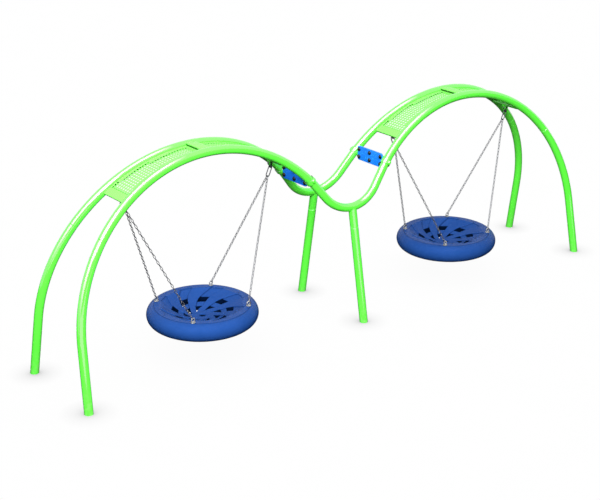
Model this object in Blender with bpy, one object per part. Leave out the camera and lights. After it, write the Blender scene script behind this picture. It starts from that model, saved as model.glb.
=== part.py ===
"""Double-arch glider swing: two tube rails bent into two arches with a saddle between them,
carrying two round moulded seats on chains. Metres, +Z up, X along the frame, origin on the
ground at the middle of the frame. Near is the -Y side and left is the -X side."""

import math

import bmesh
import bpy
from mathutils import Matrix, Vector

# Clearances
SEAT_GAP = 0.0003  # between pieces that touch
RUNNING_GAP = 0.0003  # radial play of a shaft in its hole
LINK_PLAY = 0.0004  # between a link and what it hangs on

# Frame rails
TUBE_DIAMETER = 0.0889
TUBE_WALL = 0.0032
FOOT_HALF_SPACING = 0.545  # rail axis to the middle plane, on the ground
SIDE_LEAN = math.radians(9.95)  # both rails lean in towards each other
DIP_HEIGHT = 1.260  # rail axis at the bottom of the saddle
SADDLE_RADIUS = 0.4325
SHOULDER_SLOPE = math.radians(51.5)  # of the straight run between saddle and arch
SHOULDER_RUN = 0.171
ARCH_RADIUS = 1.637
LEG_SLOPE = math.radians(87.0)
CLAMP_SLOPE = math.radians(47.5)  # rail slope where the saddle ends, in a clamp
LEG_JOINT_SLOPE = math.radians(51.0)  # rail slope where the arch meets the leg
FOOT_PLATE = 0.008

# Posts under the saddle
POST_DIAMETER = 0.0889
POST_JOINT_HEIGHT = 1.042
POST_WALL = 0.0032

# Decks between the rails of each arch
DECK_RISE = 0.008  # deck top above the rail axis
DECK_THICKNESS = 0.006
DECK_OVERHANG = 0.085  # deck's end beyond the hanger
APEX_PLATE_HALF = 0.055
APEX_PLATE_RISE = 0.036  # apex plate's top above the rail axis

# Hangers
HANGER_REACH = 0.886  # arch middle to a hanger
CROSSBAR_DIAMETER = 0.0483
PIN_DROP = 0.044  # crossbar axis to the pin's axis
PIN_DIAMETER = 0.016
PIN_HEAD_DIAMETER = 0.026
PIN_HEAD = 0.008
EAR_GAP = 0.030
EAR_THICKNESS = 0.008
EAR_WIDTH = 0.044
YOKE_BARREL_DIAMETER = 0.032
YOKE_DROP = 0.042  # pin axis to the fork bolt's axis
YOKE_WIDTH = 0.024
FORK_GAP = 0.015
FORK_WALL = 0.007
FORK_BRIDGE_PLAY = 0.0024  # between the oval link and the bridge over it
FORK_BOLT_DIAMETER = 0.010
FORK_BOLT_HEAD_DIAMETER = 0.017
FORK_BOLT_HEAD = 0.006
LINK_WIRE = 0.011
LINK_HALF_WIDTH = 0.0205  # wire axis to the link's middle
LINK_LENGTH = 0.116  # between the wire's axes at both ends

# Chains
CHAIN_LINK_WIDTH = 0.024
CHAIN_LINK_THICKNESS = 0.006
CHAIN_PITCH = 0.040
CHAIN_END_WIDTH = 0.010
CHAIN_TOP_SPREAD = 0.0056  # each chain's top to the link's middle plane

# Seats
SEAT_RADIUS = 0.580
SEAT_BASE_HEIGHT = 0.293
RIM_HEIGHT = 0.200
RIM_INNER_RADIUS = 0.428
RIM_INNER_FILLET = 0.030
FLANGE_RADIUS = 0.500
FLANGE_THICKNESS = 0.020
DISH_RADIUS = 0.425  # where the dish starts to fall from the flange
DISH_DEPTH = 0.133
DISH_THICKNESS = 0.014
HUB_RADIUS = 0.062
HUB_HOLE_RADIUS = 0.032
INNER_OPENING = (0.100, 0.182)
OUTER_OPENING = (0.252, 0.314)
SWIRL = math.radians(145.0)  # turn of the ribs for each metre outwards
SECTORS = 8
SECTOR_PHASE = math.radians(-17.5)  # a rib's direction at OUTER_OPENING's middle
RIB_CELLS = (0, 3)  # of the four cells of a sector

# Eyebolts
EYE_REACH = 0.341  # seat middle to an eyebolt, along X and along Y
EYE_BASE_DIAMETER = 0.050
EYE_BASE = 0.008
EYE_BASE_EDGE = 0.005  # upright edge of the base
EYE_NECK_DIAMETER = 0.020
EYE_NECK_FOOT_DIAMETER = 0.026
EYE_RADIUS = 0.0185  # wire axis of the eye
EYE_WIRE = 0.012
EYE_LIFT = 0.003  # base top to the wire axis at the eye's foot
EYE_SHANK_DIAMETER = 0.012
EYE_SHANK = 0.055

# Panels between the rails at both ends of the saddle
PANEL_HEIGHT = 0.158
PANEL_SIDE_GAP = 0.0062  # from the panel's edge to the clamp rings
PANEL_THICKNESS = 0.019
PANEL_CORNER = 0.020
CLAMP_WIDTH = 0.052
CLAMP_WALL = 0.007
CLAMP_TAB_REACH = 0.050  # tab beyond the panel's edge, towards its middle
CLAMP_TAB_HEIGHT = 0.110
CLAMP_TAB_THICKNESS = 0.008
CLAMP_LUG_DIAMETER = 0.030
CLAMP_LUG_LENGTH = 0.036

# Fineness
TUBE_SIDES = 12
STEPS_TO_HANGER = 4  # of each arch half, from its top to the hanger
SADDLE_STEP = math.radians(13.0)
SEAT_SEGMENTS = 32
PIN_SIDES = 10
WIRE_SIDES = 6
LINK_ARC_SIDES = 6
RIM_ARC_SIDES = 6
CORNER_SIDES = 3
CHAIN_AIM_ROUNDS = 4  # a chain's direction and its top settle on each other
CLOSEST_STATION = 0.01  # of an arc step, from an arc's end to its first whole step
SHARP_ANGLE = math.radians(40)

SIDES = {"near": -1, "far": 1}
ENDS = {"left": -1, "right": 1}


# ---------------------------------------------------------------- materials


def make_material(name, colour, roughness, metallic=0.0):
    material = bpy.data.materials.new(name)
    material.use_nodes = True
    shader = material.node_tree.nodes["Principled BSDF"]
    shader.inputs["Base Color"].default_value = (*colour, 1.0)
    shader.inputs["Roughness"].default_value = roughness
    shader.inputs["Metallic"].default_value = metallic
    material.diffuse_color = (*colour, 1.0)
    return material


def make_materials():
    return {
        "green": make_material("green_powder_coat", (0.130, 0.870, 0.060), 0.30),
        "steel": make_material("galvanised_steel", (0.55, 0.56, 0.58), 0.40, 0.9),
        "eye": make_material("polished_eye_steel", (0.72, 0.72, 0.70), 0.28, 0.9),
        "seat": make_material("blue_moulded_seat", (0.036, 0.125, 0.500), 0.55),
        "panel": make_material("blue_panel", (0.010, 0.210, 0.900), 0.35),
    }


# ---------------------------------------------------------------- mesh helpers


def finish_mesh(bm, name):
    """A closed bmesh as a smooth-shaded mesh with its faces pointing out."""
    bmesh.ops.recalc_face_normals(bm, faces=bm.faces)
    mesh = bpy.data.meshes.new(name)
    bm.to_mesh(mesh)
    bm.free()
    mesh.shade_smooth()
    mesh.set_sharp_from_angle(angle=SHARP_ANGLE)
    return mesh


def add_ring(bm, points):
    return [bm.verts.new(point) for point in points]


def bridge(bm, first, second):
    count = len(first)
    for i in range(count):
        j = (i + 1) % count
        bm.faces.new((first[i], first[j], second[j], second[i]))


def loft_mesh(name, rings, closed=False):
    """A skin through rings of points: capped at both ends, or joined into a loop."""
    bm = bmesh.new()
    made = [add_ring(bm, ring) for ring in rings]
    for first, second in zip(made, made[1:]):
        bridge(bm, first, second)
    if closed:
        bridge(bm, made[-1], made[0])
    else:
        bm.faces.new(made[0])
        bm.faces.new(made[-1])
    return finish_mesh(bm, name)


def pipe_mesh(name, outer, bore, foot_closed):
    """A hollow tube through rings: open at its start, and open or closed at its end."""
    bm = bmesh.new()
    skins = [[add_ring(bm, ring) for ring in rings] for rings in (outer, bore)]
    for skin in skins:
        for first, second in zip(skin, skin[1:]):
            bridge(bm, first, second)
    bridge(bm, skins[0][0], skins[1][0])
    if foot_closed:
        bm.faces.new(skins[0][-1])
        bm.faces.new(skins[1][-1])
    else:
        bridge(bm, skins[0][-1], skins[1][-1])
    return finish_mesh(bm, name)


def circle(radius, sides, phase=0.0):
    """Points of a circle about the local Z axis."""
    steps = [phase + 2 * math.pi * i / sides for i in range(sides)]
    return [Vector((radius * math.cos(a), radius * math.sin(a), 0.0)) for a in steps]


def turned_mesh(name, profile, sides, phase=0.0):
    """A solid of revolution about Z from (radius, z) points, first to last along its skin."""
    rings = [
        [point + Vector((0, 0, z)) for point in circle(radius, sides, phase)]
        for radius, z in profile
    ]
    return loft_mesh(name, rings)


def ring_mesh(name, profile, sides, phase=0.0):
    """A closed ring about Z from a closed (radius, z) outline."""
    rings = []
    for i in range(sides):
        angle = phase + 2 * math.pi * i / sides
        rings.append(
            [Vector((r * math.cos(angle), r * math.sin(angle), z)) for r, z in profile]
        )
    return loft_mesh(name, rings, closed=True)


def extruded_mesh(name, outline, thickness):
    """An outline in the local XY plane, thickened evenly on both sides of it."""
    half = Vector((0, 0, thickness / 2))
    points = [Vector((x, y, 0)) for x, y in outline]
    return loft_mesh(name, [[p - half for p in points], [p + half for p in points]])


def box_mesh(name, size):
    x, y, z = (side / 2 for side in size)
    return extruded_mesh(name, [(-x, -y), (x, -y), (x, y), (-x, y)], 2 * z)


def hole_radius(shaft_radius, sides):
    """Radius of a many-sided hole whose flats keep the running gap to the shaft."""
    return (shaft_radius + RUNNING_GAP) / math.cos(math.pi / sides)


def guide(mesh, matrix):
    """A helper solid for a Boolean, kept out of the render."""
    obj = bpy.data.objects.new(mesh.name, mesh)
    obj.matrix_world = matrix
    obj.hide_render = True
    obj.display_type = "WIRE"
    bpy.context.scene.collection.objects.link(obj)
    return obj


def fused_mesh(name, solids, cuts=()):
    """One mesh of (mesh, matrix) solids joined together, with (mesh, matrix) cuts removed."""
    base = guide(*solids[0])
    helpers = [base]
    jobs = [(solid, "UNION") for solid in solids[1:]] + [(c, "DIFFERENCE") for c in cuts]
    for (mesh, matrix), operation in jobs:
        helper = guide(mesh, matrix)
        helpers.append(helper)
        modifier = base.modifiers.new(operation.lower(), "BOOLEAN")
        modifier.operation = operation
        modifier.solver = "EXACT"
        modifier.object = helper
    graph = bpy.context.evaluated_depsgraph_get()
    mesh = bpy.data.meshes.new_from_object(base.evaluated_get(graph))
    mesh.transform(base.matrix_world)
    mesh.name = name
    mesh.shade_smooth()
    mesh.set_sharp_from_angle(angle=SHARP_ANGLE)
    for helper in helpers:
        bpy.data.objects.remove(helper)
    return mesh


def add_piece(name, mesh, material, parent=None, place=None):
    """An object for one piece, placed in the world and parented to its pivot."""
    if not mesh.materials:
        mesh.materials.append(material)
    obj = bpy.data.objects.new(name, mesh)
    bpy.context.scene.collection.objects.link(obj)
    world = place or Matrix.Identity(4)
    if parent:
        obj.parent = parent
        obj.matrix_parent_inverse = Matrix.Identity(4)
        world = Matrix.Translation(-parent_origin(parent)) @ world
    obj.matrix_local = world
    return obj


def parent_origin(empty):
    origin = Vector(empty.location)
    while empty.parent:
        empty = empty.parent
        origin += Vector(empty.location)
    return origin


def add_pivot(name, origin, parent=None):
    """An empty on a joint's axis, which carries the pieces that turn about it."""
    empty = bpy.data.objects.new(name, None)
    empty.empty_display_size = 0.1
    bpy.context.scene.collection.objects.link(empty)
    if parent:
        empty.parent = parent
        empty.location = Vector(origin) - parent_origin(parent)
    else:
        empty.location = origin
    return empty


# ---------------------------------------------------------------- derived sizes

TUBE_RADIUS = TUBE_DIAMETER / 2
BORE_RADIUS = TUBE_RADIUS - TUBE_WALL
CLAMP_HALF_TURN = CLAMP_WIDTH / 2 / ARCH_RADIUS
CROSSBAR_UNDER_RAIL = DECK_THICKNESS - DECK_RISE + 2 * SEAT_GAP + CROSSBAR_DIAMETER / 2
HANGER_SLOPE = math.asin(HANGER_REACH / (ARCH_RADIUS - CROSSBAR_UNDER_RAIL))
ARC_STEP = HANGER_SLOPE / STEPS_TO_HANGER
LINK_TOP = FORK_BOLT_DIAMETER / 2 + LINK_PLAY + LINK_WIRE / 2  # wire axis over the fork bolt
DECK_REACH = HANGER_REACH + DECK_OVERHANG  # arch middle to the deck's end
BRIDGE_RISE = LINK_TOP + LINK_WIRE / 2 + FORK_BRIDGE_PLAY  # fork's bridge over the fork bolt


# ---------------------------------------------------------------- rail geometry


def saddle_headings():
    count = math.ceil(2 * SHOULDER_SLOPE / SADDLE_STEP)
    return [SHOULDER_SLOPE * (2 * i / count - 1) for i in range(count + 1)]


def arch_headings(start, end):
    """Falling slopes along the arch at whole steps from its top, alike on both halves."""
    first = math.floor(start / ARC_STEP - CLOSEST_STATION)
    last = math.ceil(end / ARC_STEP + CLOSEST_STATION)
    return [start, *(ARC_STEP * i for i in range(first, last - 1, -1)), end]


def saddle_arc_point(heading):
    """(x, t) on the saddle's arc, where t runs up the leaning side plane."""
    dip = DIP_HEIGHT / math.cos(SIDE_LEAN)
    return (
        SADDLE_RADIUS * math.sin(heading),
        dip + SADDLE_RADIUS * (1 - math.cos(heading)),
    )


def arch_centre():
    x, t = saddle_arc_point(SHOULDER_SLOPE)
    x += SHOULDER_RUN * math.cos(SHOULDER_SLOPE)
    t += SHOULDER_RUN * math.sin(SHOULDER_SLOPE)
    return (
        x + ARCH_RADIUS * math.sin(SHOULDER_SLOPE),
        t - ARCH_RADIUS * math.cos(SHOULDER_SLOPE),
    )


def arch_arc_point(heading, rise=0.0):
    x, t = arch_centre()
    radius = ARCH_RADIUS + rise
    return x - radius * math.sin(heading), t + radius * math.cos(heading)


def rail_place(x, t, side):
    """World position of a point of the side plane."""
    y = side * (FOOT_HALF_SPACING - t * math.sin(SIDE_LEAN))
    return Vector((x, y, t * math.cos(SIDE_LEAN)))


def up_the_side(side):
    return Vector((0, -side * math.sin(SIDE_LEAN), math.cos(SIDE_LEAN)))


def side_normal(side):
    return Vector((0, math.cos(SIDE_LEAN), side * math.sin(SIDE_LEAN)))


def tube_ring(station, side, end, radius, sides=TUBE_SIDES):
    """Ring of a rail tube. One of its corners faces the other rail, level."""
    (x, t), heading = station
    centre = rail_place(end * x, t, side)
    across = side_normal(side)
    rise = Vector((-end * math.sin(heading), 0, 0)) + up_the_side(side) * math.cos(heading)
    ring = []
    for i in range(sides):
        angle = 2 * math.pi * i / sides - side * SIDE_LEAN
        ring.append(
            centre + radius * (math.cos(angle) * across + math.sin(angle) * rise)
        )
    return ring


def saddle_stations(half_gap):
    """Stations of the whole saddle: arc, straight shoulders and the start of each arch."""
    arc = [(saddle_arc_point(h), h) for h in saddle_headings()]
    trim = half_gap / ARCH_RADIUS
    headings = (SHOULDER_SLOPE, CLAMP_SLOPE + CLAMP_HALF_TURN, CLAMP_SLOPE + trim)
    ends = [(arch_arc_point(h), h) for h in headings]
    mirrored = [((-x, t), -h) for (x, t), h in reversed(ends)]
    return mirrored + arc + ends


def arch_stations(half_gap):
    trim = half_gap / ARCH_RADIUS
    start = CLAMP_SLOPE - CLAMP_HALF_TURN
    headings = [CLAMP_SLOPE - trim, *arch_headings(start, trim - LEG_JOINT_SLOPE)]
    return [(arch_arc_point(h), h) for h in headings]


def leg_stations(half_gap):
    trim = half_gap / ARCH_RADIUS
    headings = arch_headings(-LEG_JOINT_SLOPE - trim, -LEG_SLOPE)
    return [(arch_arc_point(h), h) for h in headings]


def longer_ends(rings, reach):
    """The rings with both end rings pushed further out along the tube."""
    first = (rings[0][0] - rings[1][0]).normalized() * reach
    last = (rings[-1][0] - rings[-2][0]).normalized() * reach
    start = [point + first for point in rings[0]]
    finish = [point + last for point in rings[-1]]
    return [start, *rings, finish]


def cut_level(ring, direction, height):
    """The ring's points slid along a direction to a level plane."""
    return [p + direction * ((height - p.z) / direction.z) for p in ring]


def leg_rings(side, end, radius, height):
    rings = [tube_ring(s, side, end, radius) for s in leg_stations(SEAT_GAP / 2)]
    down = Vector((end * math.cos(LEG_SLOPE), 0, 0)) - up_the_side(side) * math.sin(LEG_SLOPE)
    return rings + [cut_level(rings[-1], down, height)]


def post_rings(side, low, high, radius):
    """Two level rings of a post, low end last."""
    lean = Vector((0, -side * math.sin(SIDE_LEAN), math.cos(SIDE_LEAN)))
    foot = Vector((0, side * FOOT_HALF_SPACING, 0))
    points = circle(radius, TUBE_SIDES)
    turn = Matrix.Rotation(side * SIDE_LEAN, 3, "X")
    square = [foot + turn @ point for point in points]
    return [cut_level(square, lean, height) for height in (high, low)]


# ---------------------------------------------------------------- frame


def make_saddle(side):
    """The dip between the arches, with the stub that the post fits under."""
    stations = saddle_stations(SEAT_GAP / 2)
    outer = [tube_ring(s, side, 1, TUBE_RADIUS) for s in stations]
    bore = [tube_ring(s, side, 1, BORE_RADIUS) for s in stations]
    bore = longer_ends(bore, TUBE_WALL)
    low = POST_JOINT_HEIGHT + SEAT_GAP / 2
    stub = post_rings(side, low, DIP_HEIGHT, POST_DIAMETER / 2 - SEAT_GAP)
    stub_bore = post_rings(side, low - POST_WALL, DIP_HEIGHT, POST_DIAMETER / 2 - POST_WALL)
    here = Matrix.Identity(4)
    return fused_mesh(
        "saddle",
        [(loft_mesh("rail", outer), here), (loft_mesh("stub", stub), here)],
        [(loft_mesh("rail_bore", bore), here), (loft_mesh("stub_bore", stub_bore), here)],
    )


def make_arch(side, end):
    outer = [tube_ring(s, side, end, TUBE_RADIUS) for s in arch_stations(SEAT_GAP / 2)]
    bore = [tube_ring(s, side, end, BORE_RADIUS) for s in arch_stations(SEAT_GAP / 2)]
    return pipe_mesh("arch", outer, bore, foot_closed=False)


def make_leg(side, end):
    outer = leg_rings(side, end, TUBE_RADIUS, 0.0)
    bore = leg_rings(side, end, BORE_RADIUS, FOOT_PLATE)
    return pipe_mesh("leg", outer, bore, foot_closed=True)


def make_post(side):
    top = POST_JOINT_HEIGHT - SEAT_GAP / 2
    outer = post_rings(side, 0.0, top, POST_DIAMETER / 2)
    bore = post_rings(side, FOOT_PLATE, top, POST_DIAMETER / 2 - POST_WALL)
    return pipe_mesh("post", outer, bore, foot_closed=True)


def rail_cutter(side, end):
    """The arch rail with the touching gap round it, for what is coped onto it."""
    rings = [tube_ring(s, side, end, TUBE_RADIUS + SEAT_GAP) for s in arch_stations(0.0)]
    return loft_mesh("rail_cutter", rings)


# ---------------------------------------------------------------- decks


def deck_section(reach, edge_gap, low, high):
    """Ring of a deck across the arch at a distance from the arch's middle, between two
    heights above the rail axis. The edge gap counts from the rails' axes."""
    x, t = arch_arc_point(-math.asin(reach / ARCH_RADIUS))
    edge = FOOT_HALF_SPACING - t * math.sin(SIDE_LEAN) - edge_gap
    rise = Vector((x - arch_centre()[0], 0, t - arch_centre()[1])).normalized()
    foot = Vector((x, 0, t * math.cos(SIDE_LEAN)))
    corners = [(-edge, low), (edge, low), (edge, high), (-edge, high)]
    return [foot + Vector((0, y, 0)) + rise * z for y, z in corners]


def make_deck():
    """A curved sheet between the rails, on the outer side of the right arch."""
    start = APEX_PLATE_HALF + SEAT_GAP
    first, last = (-math.asin(reach / ARCH_RADIUS) for reach in (start, DECK_REACH))
    reaches = [start]
    reaches += [-ARCH_RADIUS * math.sin(h) for h in arch_headings(first, last)[1:-1]]
    reaches += [DECK_REACH]
    edge_gap = TUBE_RADIUS + 2 * SEAT_GAP
    low = DECK_RISE - DECK_THICKNESS
    return loft_mesh("deck", [deck_section(r, edge_gap, low, DECK_RISE) for r in reaches])


def make_apex_plate():
    """Raised plate at the arch's top, coped onto both rails."""
    low = DECK_RISE - DECK_THICKNESS
    reaches = (-APEX_PLATE_HALF, 0.0, APEX_PLATE_HALF)
    block = loft_mesh("block", [deck_section(r, 0.0, low, APEX_PLATE_RISE) for r in reaches])
    here = Matrix.Identity(4)
    return fused_mesh("apex_plate", [(block, here)], [(rail_cutter(s, 1), here) for s in (-1, 1)])


# ---------------------------------------------------------------- hangers


def crossbar_height():
    """Height of a crossbar's axis: the deck's end rests on it, right above the hanger."""
    x, t = arch_arc_point(-HANGER_SLOPE)
    rise = Vector((x - arch_centre()[0], 0, t - arch_centre()[1])).normalized()
    return t * math.cos(SIDE_LEAN) - CROSSBAR_UNDER_RAIL * rise.z


def pin_height():
    return crossbar_height() - PIN_DROP


def pivot_height():
    return pin_height() - YOKE_DROP


def make_hanger_bracket():
    """Crossbar coped between the rails, with two ears for the pin, at the right arch's
    outer end."""
    centre = Vector((arch_centre()[0] + HANGER_REACH, 0, crossbar_height()))
    rail_y = FOOT_HALF_SPACING - centre.z * math.tan(SIDE_LEAN)
    radius = CROSSBAR_DIAMETER / 2
    lie = Matrix.Translation(centre) @ Matrix.Rotation(math.pi / 2, 4, "X")
    bar = turned_mesh("bar", [(radius, -rail_y), (radius, rail_y)], TUBE_SIDES)
    half = EAR_WIDTH / 2
    arc = [math.pi * (1 + i / LINK_ARC_SIDES) for i in range(LINK_ARC_SIDES + 1)]
    outline = [(half * math.cos(a), half * math.sin(a) - PIN_DROP) for a in arc]
    outline += [(half, 0), (-half, 0)]
    stand = Matrix.Rotation(math.pi / 2, 4, "Z") @ Matrix.Rotation(math.pi / 2, 4, "X")
    solids = [(bar, lie)]
    for sign in (-1, 1):
        offset = Vector((sign * (EAR_GAP + EAR_THICKNESS) / 2, 0, 0))
        ear = extruded_mesh("ear", outline, EAR_THICKNESS)
        solids.append((ear, Matrix.Translation(centre + offset) @ stand))
    bore = hole_radius(PIN_DIAMETER / 2, PIN_SIDES)
    length = EAR_GAP + 4 * EAR_THICKNESS
    drill = turned_mesh("drill", [(bore, -length / 2), (bore, length / 2)], PIN_SIDES)
    axis = Matrix.Translation(centre - Vector((0, 0, PIN_DROP)))
    cuts = [(drill, axis @ Matrix.Rotation(math.pi / 2, 4, "Y"))]
    cuts += [(rail_cutter(side, 1), Matrix.Identity(4)) for side in SIDES.values()]
    return fused_mesh("hanger_bracket", solids, cuts)


def make_pin():
    """Pin about the local Z axis, with a head at each end."""
    grip = EAR_GAP / 2 + EAR_THICKNESS + SEAT_GAP
    head = PIN_HEAD_DIAMETER / 2
    shaft = PIN_DIAMETER / 2
    profile = [
        (head, -grip - PIN_HEAD),
        (head, -grip),
        (shaft, -grip),
        (shaft, grip),
        (head, grip),
        (head, grip + PIN_HEAD),
    ]
    return turned_mesh("pin", profile, PIN_SIDES)


def make_yoke():
    """Barrel on the pin, with a fork and its bolt below. Origin on the pin's axis."""
    along = Matrix.Rotation(math.pi / 2, 4, "Y")
    across = Matrix.Rotation(math.pi / 2, 4, "X")
    barrel_half = EAR_GAP / 2 - SEAT_GAP
    barrel = YOKE_BARREL_DIAMETER / 2
    solids = [
        (turned_mesh("barrel", [(barrel, -barrel_half), (barrel, barrel_half)], PIN_SIDES), along)
    ]
    fork_width = FORK_GAP + 2 * FORK_WALL
    fork_end = YOKE_DROP + YOKE_WIDTH / 2
    bridge_end = YOKE_DROP - BRIDGE_RISE
    block = box_mesh("bridge", (YOKE_WIDTH, fork_width, bridge_end))
    solids.append((block, Matrix.Translation((0, 0, -bridge_end / 2))))
    prong_top = barrel / 2
    prong = box_mesh("prong", (YOKE_WIDTH, FORK_WALL, fork_end - prong_top))
    for sign in (-1, 1):
        place = (0, sign * (FORK_GAP + FORK_WALL) / 2, -(fork_end + prong_top) / 2)
        solids.append((prong, Matrix.Translation(place)))
    bolt = FORK_BOLT_DIAMETER / 2
    head = FORK_BOLT_HEAD_DIAMETER / 2
    reach = fork_width / 2
    profile = [
        (head, -reach - FORK_BOLT_HEAD),
        (head, -reach + FORK_WALL / 2),
        (bolt, -reach + FORK_WALL / 2),
        (bolt, reach - FORK_WALL / 2),
        (head, reach - FORK_WALL / 2),
        (head, reach + FORK_BOLT_HEAD),
    ]
    bolt_mesh = turned_mesh("fork_bolt", profile, PIN_SIDES)
    solids.append((bolt_mesh, Matrix.Translation((0, 0, -YOKE_DROP)) @ across))
    bore = hole_radius(PIN_DIAMETER / 2, PIN_SIDES)
    drill = turned_mesh("drill", [(bore, -EAR_GAP), (bore, EAR_GAP)], PIN_SIDES)
    return fused_mesh("yoke", solids, [(drill, along)])


def make_oval_link():
    """Oval ring in the local XZ plane, hanging down -Z from the fork bolt at its origin."""
    radius = LINK_HALF_WIDTH
    low = LINK_TOP - LINK_LENGTH + radius
    high = LINK_TOP - radius
    path = []
    for middle, start in ((high, 0.0), (low, math.pi)):
        for i in range(LINK_ARC_SIDES + 1):
            angle = start + math.pi * i / LINK_ARC_SIDES
            out = Vector((math.cos(angle), 0, math.sin(angle)))
            path.append((Vector((0, 0, middle)) + radius * out, out))
    rings = []
    for centre, out in path:
        ring = []
        for i in range(WIRE_SIDES):
            angle = 2 * math.pi * i / WIRE_SIDES
            level = Vector((0, math.sin(angle), 0))
            ring.append(centre + LINK_WIRE / 2 * (math.cos(angle) * out + level))
        rings.append(ring)
    return loft_mesh("oval_link", rings, closed=True)


# ---------------------------------------------------------------- chains


def ring_reach(radius, wire, along):
    """From the middle of a ring in the XZ plane to a plane square to `along` that rests on it."""
    return radius * math.hypot(along.x, along.z) + wire / 2 + LINK_PLAY


def chain_ends(side):
    """Top and bottom of a chain of the outer hanger, from the seat's middle on the ground.
    Both ends are flat, and rest on the oval link's wire and on the eye."""
    pivot = Vector((HANGER_REACH, 0, pivot_height()))
    eye = Vector((EYE_REACH, side * EYE_REACH, eye_height()))
    fall = Vector((eye.x - pivot.x, 0, eye.z - pivot.z)).normalized()
    bend = pivot + fall * (LINK_LENGTH - LINK_TOP - LINK_HALF_WIDTH)
    spread = Vector((0, side * CHAIN_TOP_SPREAD, 0))
    top = bend + spread
    for _ in range(CHAIN_AIM_ROUNDS):
        along = (eye - top).normalized()
        reach = ring_reach(LINK_HALF_WIDTH, LINK_WIRE, along)
        top = bend + spread + fall * ((reach - spread.dot(along)) / fall.dot(along))
    return top, eye - along * ring_reach(EYE_RADIUS, EYE_WIRE, along)


def make_chain(side):
    """Strand of flat links, each a quarter turn from the next, along the local -Z axis."""
    top, bottom = chain_ends(side)
    length = (bottom - top).length
    count = round(length / CHAIN_PITCH)
    wide = CHAIN_LINK_WIDTH / 2
    thin = CHAIN_LINK_THICKNESS / 2
    tip = CHAIN_END_WIDTH / 2
    rings = []
    for i in range(count + 1):
        if i in (0, count):
            x, y = tip, tip
        elif i % 2:
            x, y = wide, thin
        else:
            x, y = thin, wide
        z = -length * i / count
        rings.append([Vector((a * x, b * y, z)) for a, b in ((1, 1), (-1, 1), (-1, -1), (1, -1))])
    return loft_mesh("chain", rings)


def chain_place(start, fall):
    """Local -Z down the chain, with local Y as near across the frame as it goes."""
    up = -fall.normalized()
    across = up.cross(Vector((1, 0, 0))).normalized()
    axes = Matrix((across.cross(up), across, up)).transposed()
    return Matrix.Translation(start) @ axes.to_4x4()


# ---------------------------------------------------------------- seats


def eye_height():
    top = SEAT_BASE_HEIGHT + RIM_HEIGHT
    return top + SEAT_GAP + EYE_BASE + EYE_LIFT + EYE_RADIUS


def flange_phase():
    middle = sum(OUTER_OPENING) / 2
    return SECTOR_PHASE - SWIRL * (DISH_RADIUS - middle)


def shank_cuts(height, depth):
    """Drills for the four eyebolt shanks, from the seat's base."""
    radius = hole_radius(EYE_SHANK_DIAMETER / 2, PIN_SIDES)
    profile = [(radius, height - depth), (radius, height + depth)]
    drill = turned_mesh("drill", profile, PIN_SIDES)
    reach = EYE_REACH
    return [
        (drill, Matrix.Translation((x, y, 0)))
        for x in (-reach, reach)
        for y in (-reach, reach)
    ]


def make_rim():
    """Rounded bumper with a rebate for the dish's flange. Origin under its middle, at its base."""
    half = RIM_HEIGHT / 2
    middle = SEAT_RADIUS - half
    step = FLANGE_RADIUS + SEAT_GAP
    top = math.acos((step - middle) / half)
    shelf = RIM_HEIGHT - FLANGE_THICKNESS - SEAT_GAP
    outline = [(step, shelf)]
    for i in range(RIM_ARC_SIDES + 1):
        angle = top - (top + math.pi / 2) * i / RIM_ARC_SIDES
        outline.append((middle + half * math.cos(angle), half + half * math.sin(angle)))
    outline += [
        (RIM_INNER_RADIUS + RIM_INNER_FILLET, 0),
        (RIM_INNER_RADIUS, RIM_INNER_FILLET),
        (RIM_INNER_RADIUS, shelf),
    ]
    ring = ring_mesh("rim", outline, SEAT_SEGMENTS, flange_phase())
    cuts = shank_cuts(RIM_HEIGHT, FLANGE_THICKNESS + EYE_SHANK)
    return fused_mesh("rim", [(ring, Matrix.Identity(4))], cuts)


def dish_drop(radius):
    """Depth of the dish's top face under the rim's top."""
    if radius >= DISH_RADIUS:
        return 0.0
    return DISH_DEPTH * (1 - (radius / DISH_RADIUS) ** 2)


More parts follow.
